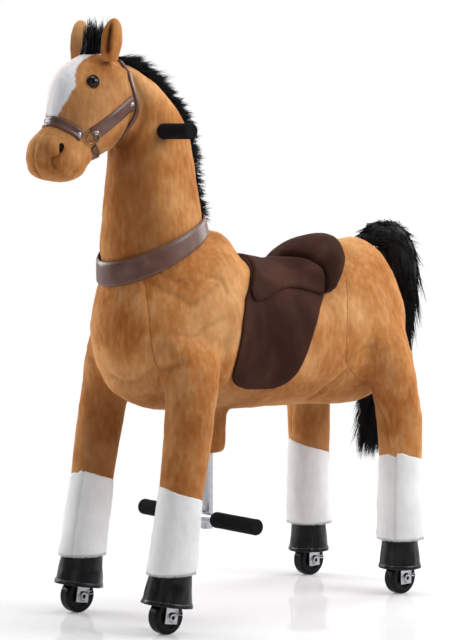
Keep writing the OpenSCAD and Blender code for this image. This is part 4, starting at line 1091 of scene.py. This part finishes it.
def edge_grid(table, rows, columns):
    """Rows and angles of a layer between the two edges of its table."""
    most = table[-1][0]
    across = most * np.sin(np.linspace(-math.pi / 2, math.pi / 2, rows + 1))
    angle = np.repeat(across[:, None], columns + 1, 1)
    share = np.linspace(0, 1, columns + 1)[None, :]
    first, last = edge_at(table, angle, 1), edge_at(table, angle, 2)
    return first + (last - first) * share, angle


pad_t = 5 * MM
seat_t = 10 * MM
cantle_t = 29 * MM
skirt_share = np.linspace(0, 1, 91)
skirt_low = np.interp(skirt_share, SKIRT_LOW[:, 0], SKIRT_LOW[:, 1])
skirt_angle = np.linspace(-1, 1, 121)[:, None] * skirt_low[None, :]
skirt_first = edge_at(SKIRT_EDGE, skirt_angle, 1)
skirt_u = skirt_first + (edge_at(SKIRT_EDGE, skirt_angle, 2) - skirt_first) * skirt_share
for name, node, grid, lift, thick, edge_share, power in (
        ("saddle_flaps", "saddle_pad", edge_grid(FLAP_EDGE, 180, 64), 1.4 * MM, pad_t, 0.8, 0.3),
        ("saddle_skirt", "saddle_seat", (skirt_u, skirt_angle), 1.8 * MM + pad_t, seat_t, 0.42, 0.45),
        ("saddle_roll", "saddle_cantle", edge_grid(ROLL_EDGE, 100, 48), 1.4 * MM, cantle_t, 0.42, 0.4)):
    piece = shaped(name, layer(*grid, lift, thick, edge_share, power), suede, node=node,
                   waves=[(0.6, 30, 8.1)])
    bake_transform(piece)

# Neck strap, noseband, cheek, chin and crown straps
NECK_STRAP_RINGS = 160
turn = turns(NECK_STRAP_RINGS)[:, None]
share = np.linspace(0, 1, 13)[None, :]
strap_rows = row_at(neck_rows, 0.05 + 0.125 * (1 + np.cos(turn)) + 0.67 * share)
edge = rise(0.5 - np.abs(share - 0.5), 0.1) ** 0.5
under = ring_point(strap_rows, turn, 2.2 * MM)
over = ring_point(strap_rows, turn, (3.4 + 2.6 * edge) * MM)
section = np.concatenate([over, under[:, ::-1]], 1)
piece = shaped("neck_strap_leather", (section.reshape(-1, 3), loop_faces(NECK_STRAP_RINGS, section.shape[1])),
               leather, node="neck_strap")
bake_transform(piece)

STRAP_THICK = 3.2 * MM
STUD_R = 4.2 * MM
STUD = [(0.05, -0.3), (1.0, -0.3), (1.0, 0.05), (0.85, 0.35), (0.5, 0.55), (0.05, 0.62)]
stud = lathe(np.array(STUD) * STUD_R, 24)
studs = []


def leather_strap(name, line, width, count, closed=False, node=None, ends=()):
    """Leather strap on the head, with studs at some shares of its length."""
    piece, top, normal = strap(name, face_tree, line, width, STRAP_THICK, count, closed)
    wear(piece, leather)
    if node:
        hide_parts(node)
    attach(piece, "neck")
    for share in ends:
        i, middle = round(share * (count - 1)), top.shape[1] // 2
        studs.append(aimed(stud, normal[i, middle], top[i, middle]))


def head_line(u, first, last, count):
    """Line round the head at one row, between two angles."""
    return ring_point(row_at(head_rows, u), np.radians(np.linspace(first, last, count)), 0)


CHEEK = [(354, 46, 834), (332, 50, 848), (311, 50, 862), (288, 48, 875), (268, 47, 887)]
CROWN = np.array([(268, 0, 972), (273, 22, 962), (276, 38, 939), (267, 46, 912), (259, 47, 889),
                  (260, 45, 868), (268, 36, 848), (280, 18, 836), (286, 0, 832)])
leather_strap("noseband_leather", head_line(NOSE_ROW, -78, 78, 13), 22 * MM, 90, node="noseband",
              ends=(0.05, 0.95))
leather_strap("chin_strap_leather", head_line(NOSE_ROW - 0.05, 112, 248, 11), 14 * MM, 80)
for line, side in zip(both_sides(CHEEK), ("left", "right")):
    leather_strap("cheek_strap_" + side, line, 25 * MM, 70, node="cheek_straps", ends=(0.07, 0.95))
crown_loop = np.concatenate([CROWN * MM, CROWN[-2:0:-1] * MM * [1, -1, 1]])
leather_strap("crown_strap_leather", crown_loop, 7 * MM, 150, closed=True)
parts = []
RING_WIRE = 1.5 * MM
ring = torus(span("bridle_rings")[0] / 2 - RING_WIRE, RING_WIRE, 64)
ring_spot = (low("bridle_rings") + high("bridle_rings")) / 2
for side in (1, -1):
    spot = np.array([[ring_spot[0], side * high("bridle_rings")[1], ring_spot[2]]])
    near, direction = on_skin(face_tree, spot, 4.2 * MM)
    parts.append(aimed(ring, direction[0], near[0]))
shaped("bridle_ring_pair", joined(parts), bronze, "neck", "bridle_rings")
shaped("strap_studs", joined(studs), steel, "neck")

# Mane: a core along the crest and clumped strands that stand out of it
mane_u = np.array([0.80, 1, 2, 3, 4, 5, 6, 7, 8])
mane_out = np.array([0.45, 0.75, 0.75, 0.70, 0.85, 1.10, 1.25, 1.20, 0.85]) * mane_w
mane_hair = mane_out * np.array([1.0, 1.0, 1.0, 1.0, 0.95, 0.85, 0.95, 1.35, 2.0])
crest = row_at(neck_rows, mane_u)
crest_way = unit(crest[:, :2] - crest[:, 2:4])
mane_top = crest[:, :2] + crest_way * mane_out[:, None] * 0.72
mane_root = crest[:, :2] - crest_way * mane_w / 2
mane_rows = np.concatenate([mane_top, mane_root, np.full((9, 1), mane_w * 0.42), np.zeros((9, 1))], 1)
shaped("mane_core", loft(mane_rows, 10, 36), hair, "neck", "mane", [(2.5, 80, 1.7)])


def clumps(centres, aims, lengths, spread, gather, per, thick, droop):
    """Strands in pointed clumps: roots spread about a centre, tips drawn together."""
    count = len(centres) * per
    middle = np.repeat(centres, per, 0)
    roots = middle + dice.normal(0, 1, (count, 3)) * spread * MM
    length = np.repeat(lengths, per) * dice.uniform(0.72, 1.06, count)
    aim = np.repeat(aims, per, 0)
    tips = middle + aim * length[:, None] + dice.normal(0, 1, (count, 3)) * gather * MM
    tips = tips - np.array([0, 0, droop]) * length[:, None]
    mids = roots + (tips - roots) * 0.5 + aim * (length * 0.14)[:, None]
    return strands(roots, mids, tips, thick * MM * dice.uniform(0.7, 1.2, count))


def in_plane(pairs):
    """Directions in the middle plane from pairs of x and z."""
    return unit(np.stack([pairs[:, 0], np.zeros(len(pairs)), pairs[:, 1]], 1))


MANE_CLUMPS = 900
u = np.sort(dice.uniform(0.70, 8.0, MANE_CLUMPS))
row = row_at(neck_rows, u)
way = in_plane(row[:, :2] - row[:, 2:4])
along = in_plane(row_at(neck_rows, np.clip(u + 0.1, 0, 8)) - row_at(neck_rows, np.clip(u - 0.1, 0, 8)))
lean = np.clip(dice.normal(0, 0.34, MANE_CLUMPS), -0.7, 0.7)
centres = ring_point(row, np.arcsin(np.clip(lean * mane_w / row[:, 4], -0.9, 0.9)), -2.5 * MM)
back_lean = dice.normal(0.30, 0.22, MANE_CLUMPS)
aims = unit(way - along * back_lean[:, None] + np.array([0, 1, 0]) * (lean * 0.7)[:, None])
lengths = np.interp(u, mane_u, np.maximum(mane_hair * 1.08, 0.85 * mane_w))
lengths = lengths * dice.uniform(0.8, 1.12, MANE_CLUMPS) + 4 * MM
shaped("mane_strands", clumps(centres, aims, lengths, 3.0, 1.4, 9, 0.6, 0.04), hair, "neck")

# Forelock between the ears
FORELOCK = [(-0.10, 0.70, 0.30), (0.10, 0.85, 0.42), (0.36, 0.72, 0.38), (0.60, 0.46, 0.26),
            (0.78, 0.12, 0.08)]
FORELOCK_CLUMPS = 70
forelock_rows = np.array([round_row(ear_x, ear_z + up * ear_h, deep * mane_w, 0, broad * mane_w)
                          for up, deep, broad in FORELOCK])
shaped("forelock_core", loft(forelock_rows, 8, 32), hair, "neck", "forelock")
centres = np.stack([ear_x + dice.uniform(-0.7, 0.6, FORELOCK_CLUMPS) * mane_w,
                    dice.uniform(-0.38, 0.38, FORELOCK_CLUMPS) * mane_w,
                    np.full(FORELOCK_CLUMPS, ear_z + 0.12 * ear_h)], 1)
aims = unit(np.stack([dice.normal(0.0, 0.12, FORELOCK_CLUMPS), dice.normal(0, 0.10, FORELOCK_CLUMPS),
                      np.ones(FORELOCK_CLUMPS)], 1))
lengths = dice.uniform(0.48, 0.98, FORELOCK_CLUMPS) * ear_h
shaped("forelock_strands", clumps(centres, aims, lengths, 3.5, 1.3, 10, 0.8, 0.02), hair, "neck")


# Tail: a core and strands that fall along it
def row_middle(rows):
    return np.stack([(rows[:, 0] + rows[:, 2]) / 2, rows[:, 5], (rows[:, 1] + rows[:, 3]) / 2], 1)


TAIL_CLUMPS = 900
tail_core = loft(slimmed(tail_rows, np.full(len(tail_rows), 0.85)), 10, 40)
shaped("tail_core", tail_core, hair, "rear_half", "tail", [(3.0, 50, 9.2)])
u = dice.uniform(0.1, 6.6, TAIL_CLUMPS)
row = row_at(tail_rows, u)
centres = ring_point(row, dice.uniform(0, 2 * math.pi, TAIL_CLUMPS), -0.28 * row[:, 4])
middle = row_middle(row)
ahead = unit(row_middle(row_at(tail_rows, np.minimum(u + 0.3, 7))) - middle)
aims = unit(ahead + unit(centres - middle) * dice.uniform(0.05, 0.30, TAIL_CLUMPS)[:, None])
lengths = np.interp(u, [0, 1, 3, 6, 7], [34, 48, 80, 76, 36]) * MM * dice.uniform(0.8, 1.15, TAIL_CLUMPS)
tail_hair = clumps(centres, aims, lengths, 4.2, 2.0, 8, 0.75, 0.10)
shaped("tail_strands", tail_hair, hair, "rear_half")

# Finish of the nodes that show as they are
kept = {"steel": steel, "tyre": rubber, "wheel_core": core, "wood": wood, "foam": foam, "ring": bronze,
        "hoof": boot, "strap": leather, "suede": suede, "dark_hair": hair, "plush": plush, "eye": eye}
for part in frame["record"]["subparts"]:
    wear(nodes[part["node"]], kept[part["material_slot"]])

# Floor: shaded near the object, plain white further away
floor = build("floor", [(-9, -9, 0), (9, -9, 0), (9, 9, 0), (-9, 9, 0)], [(0, 1, 2, 3)])
floor_paint = bpy.data.materials.new("floor")
net = Net(floor_paint)
matt = net.node("BsdfDiffuse", {"Color": (0.80, 0.80, 0.82, 1)})[0]
gloss = net.node("BsdfGlossy", {"Roughness": 0.03})[0]
both = net.node("MixShader", {0: 0.26, 1: matt, 2: gloss})[0]
lit = net.node("AddShader", {0: both, 1: net.node("Emission", {"Strength": 0.14})[0]})[0]
white = net.node("Emission", {"Strength": 1.0})[0]
reach = net.node("VectorMath", {0: net.node("TexCoord")["Object"]}, operation="LENGTH")["Value"]
fade = net.node("MapRange", {"Value": reach, "From Min": 0.45, "From Max": 1.15},
                interpolation_type="SMOOTHSTEP")["Result"]
plain = net.node("MixShader", {0: fade, 1: lit, 2: white})[0]
seen = net.node("LightPath")["Is Camera Ray"]
net.node("OutputMaterial", {"Surface": net.node("MixShader", {0: seen, 1: matt, 2: plain})[0]})
floor.data.materials.append(floor_paint)

right = Vector((-math.sin(view_turn), math.cos(view_turn), 0))
back = Vector((math.cos(view_turn), math.sin(view_turn), 0))
aim = Vector((0, 0, 0.5))

# World: white to the camera; as a light, dim in front of the object and brighter behind it
world = bpy.data.worlds.new("studio")
bpy.context.scene.world = world
net = Net(world)
sky = net.node("TexCoord")["Generated"]
facing = net.node("VectorMath", {0: sky, 1: back}, operation="DOT_PRODUCT")["Value"]
level = net.node("MapRange", {"Value": facing, "From Min": 0.4, "From Max": -0.8, "To Min": 0.20,
                              "To Max": 0.75})["Result"]
dim = net.node("Background", {"Color": grey(1.0), "Strength": level})[0]
bright = net.node("Background", {"Color": grey(1.0), "Strength": 1.0})[0]
seen = net.node("LightPath")["Is Camera Ray"]
net.node("OutputWorld", {"Surface": net.node("MixShader", {0: seen, 1: dim, 2: bright})[0]})


def lamp(name, across, up, near, size, power):
    data = bpy.data.lights.new(name, "AREA")
    data.shape = "DISK"
    data.size = size
    data.energy = power
    obj = bpy.data.objects.new(name, data)
    bpy.context.scene.collection.objects.link(obj)
    obj.location = aim + right * across + back * near + Vector((0, 0, up))
    obj.rotation_euler = (obj.location - aim).to_track_quat("Z", "Y").to_euler()


lamp("key", 2.6, 2.0, 0.8, 2.0, 74)
lamp("fill", -1.4, 1.4, 3.0, 2.4, 10)
lamp("top", 0.3, 3.0, -0.3, 2.2, 42)
lamp("rim_left", -2.4, 1.0, -1.2, 1.6, 50)
lamp("rim_right", 2.2, 1.2, -1.8, 1.6, 36)
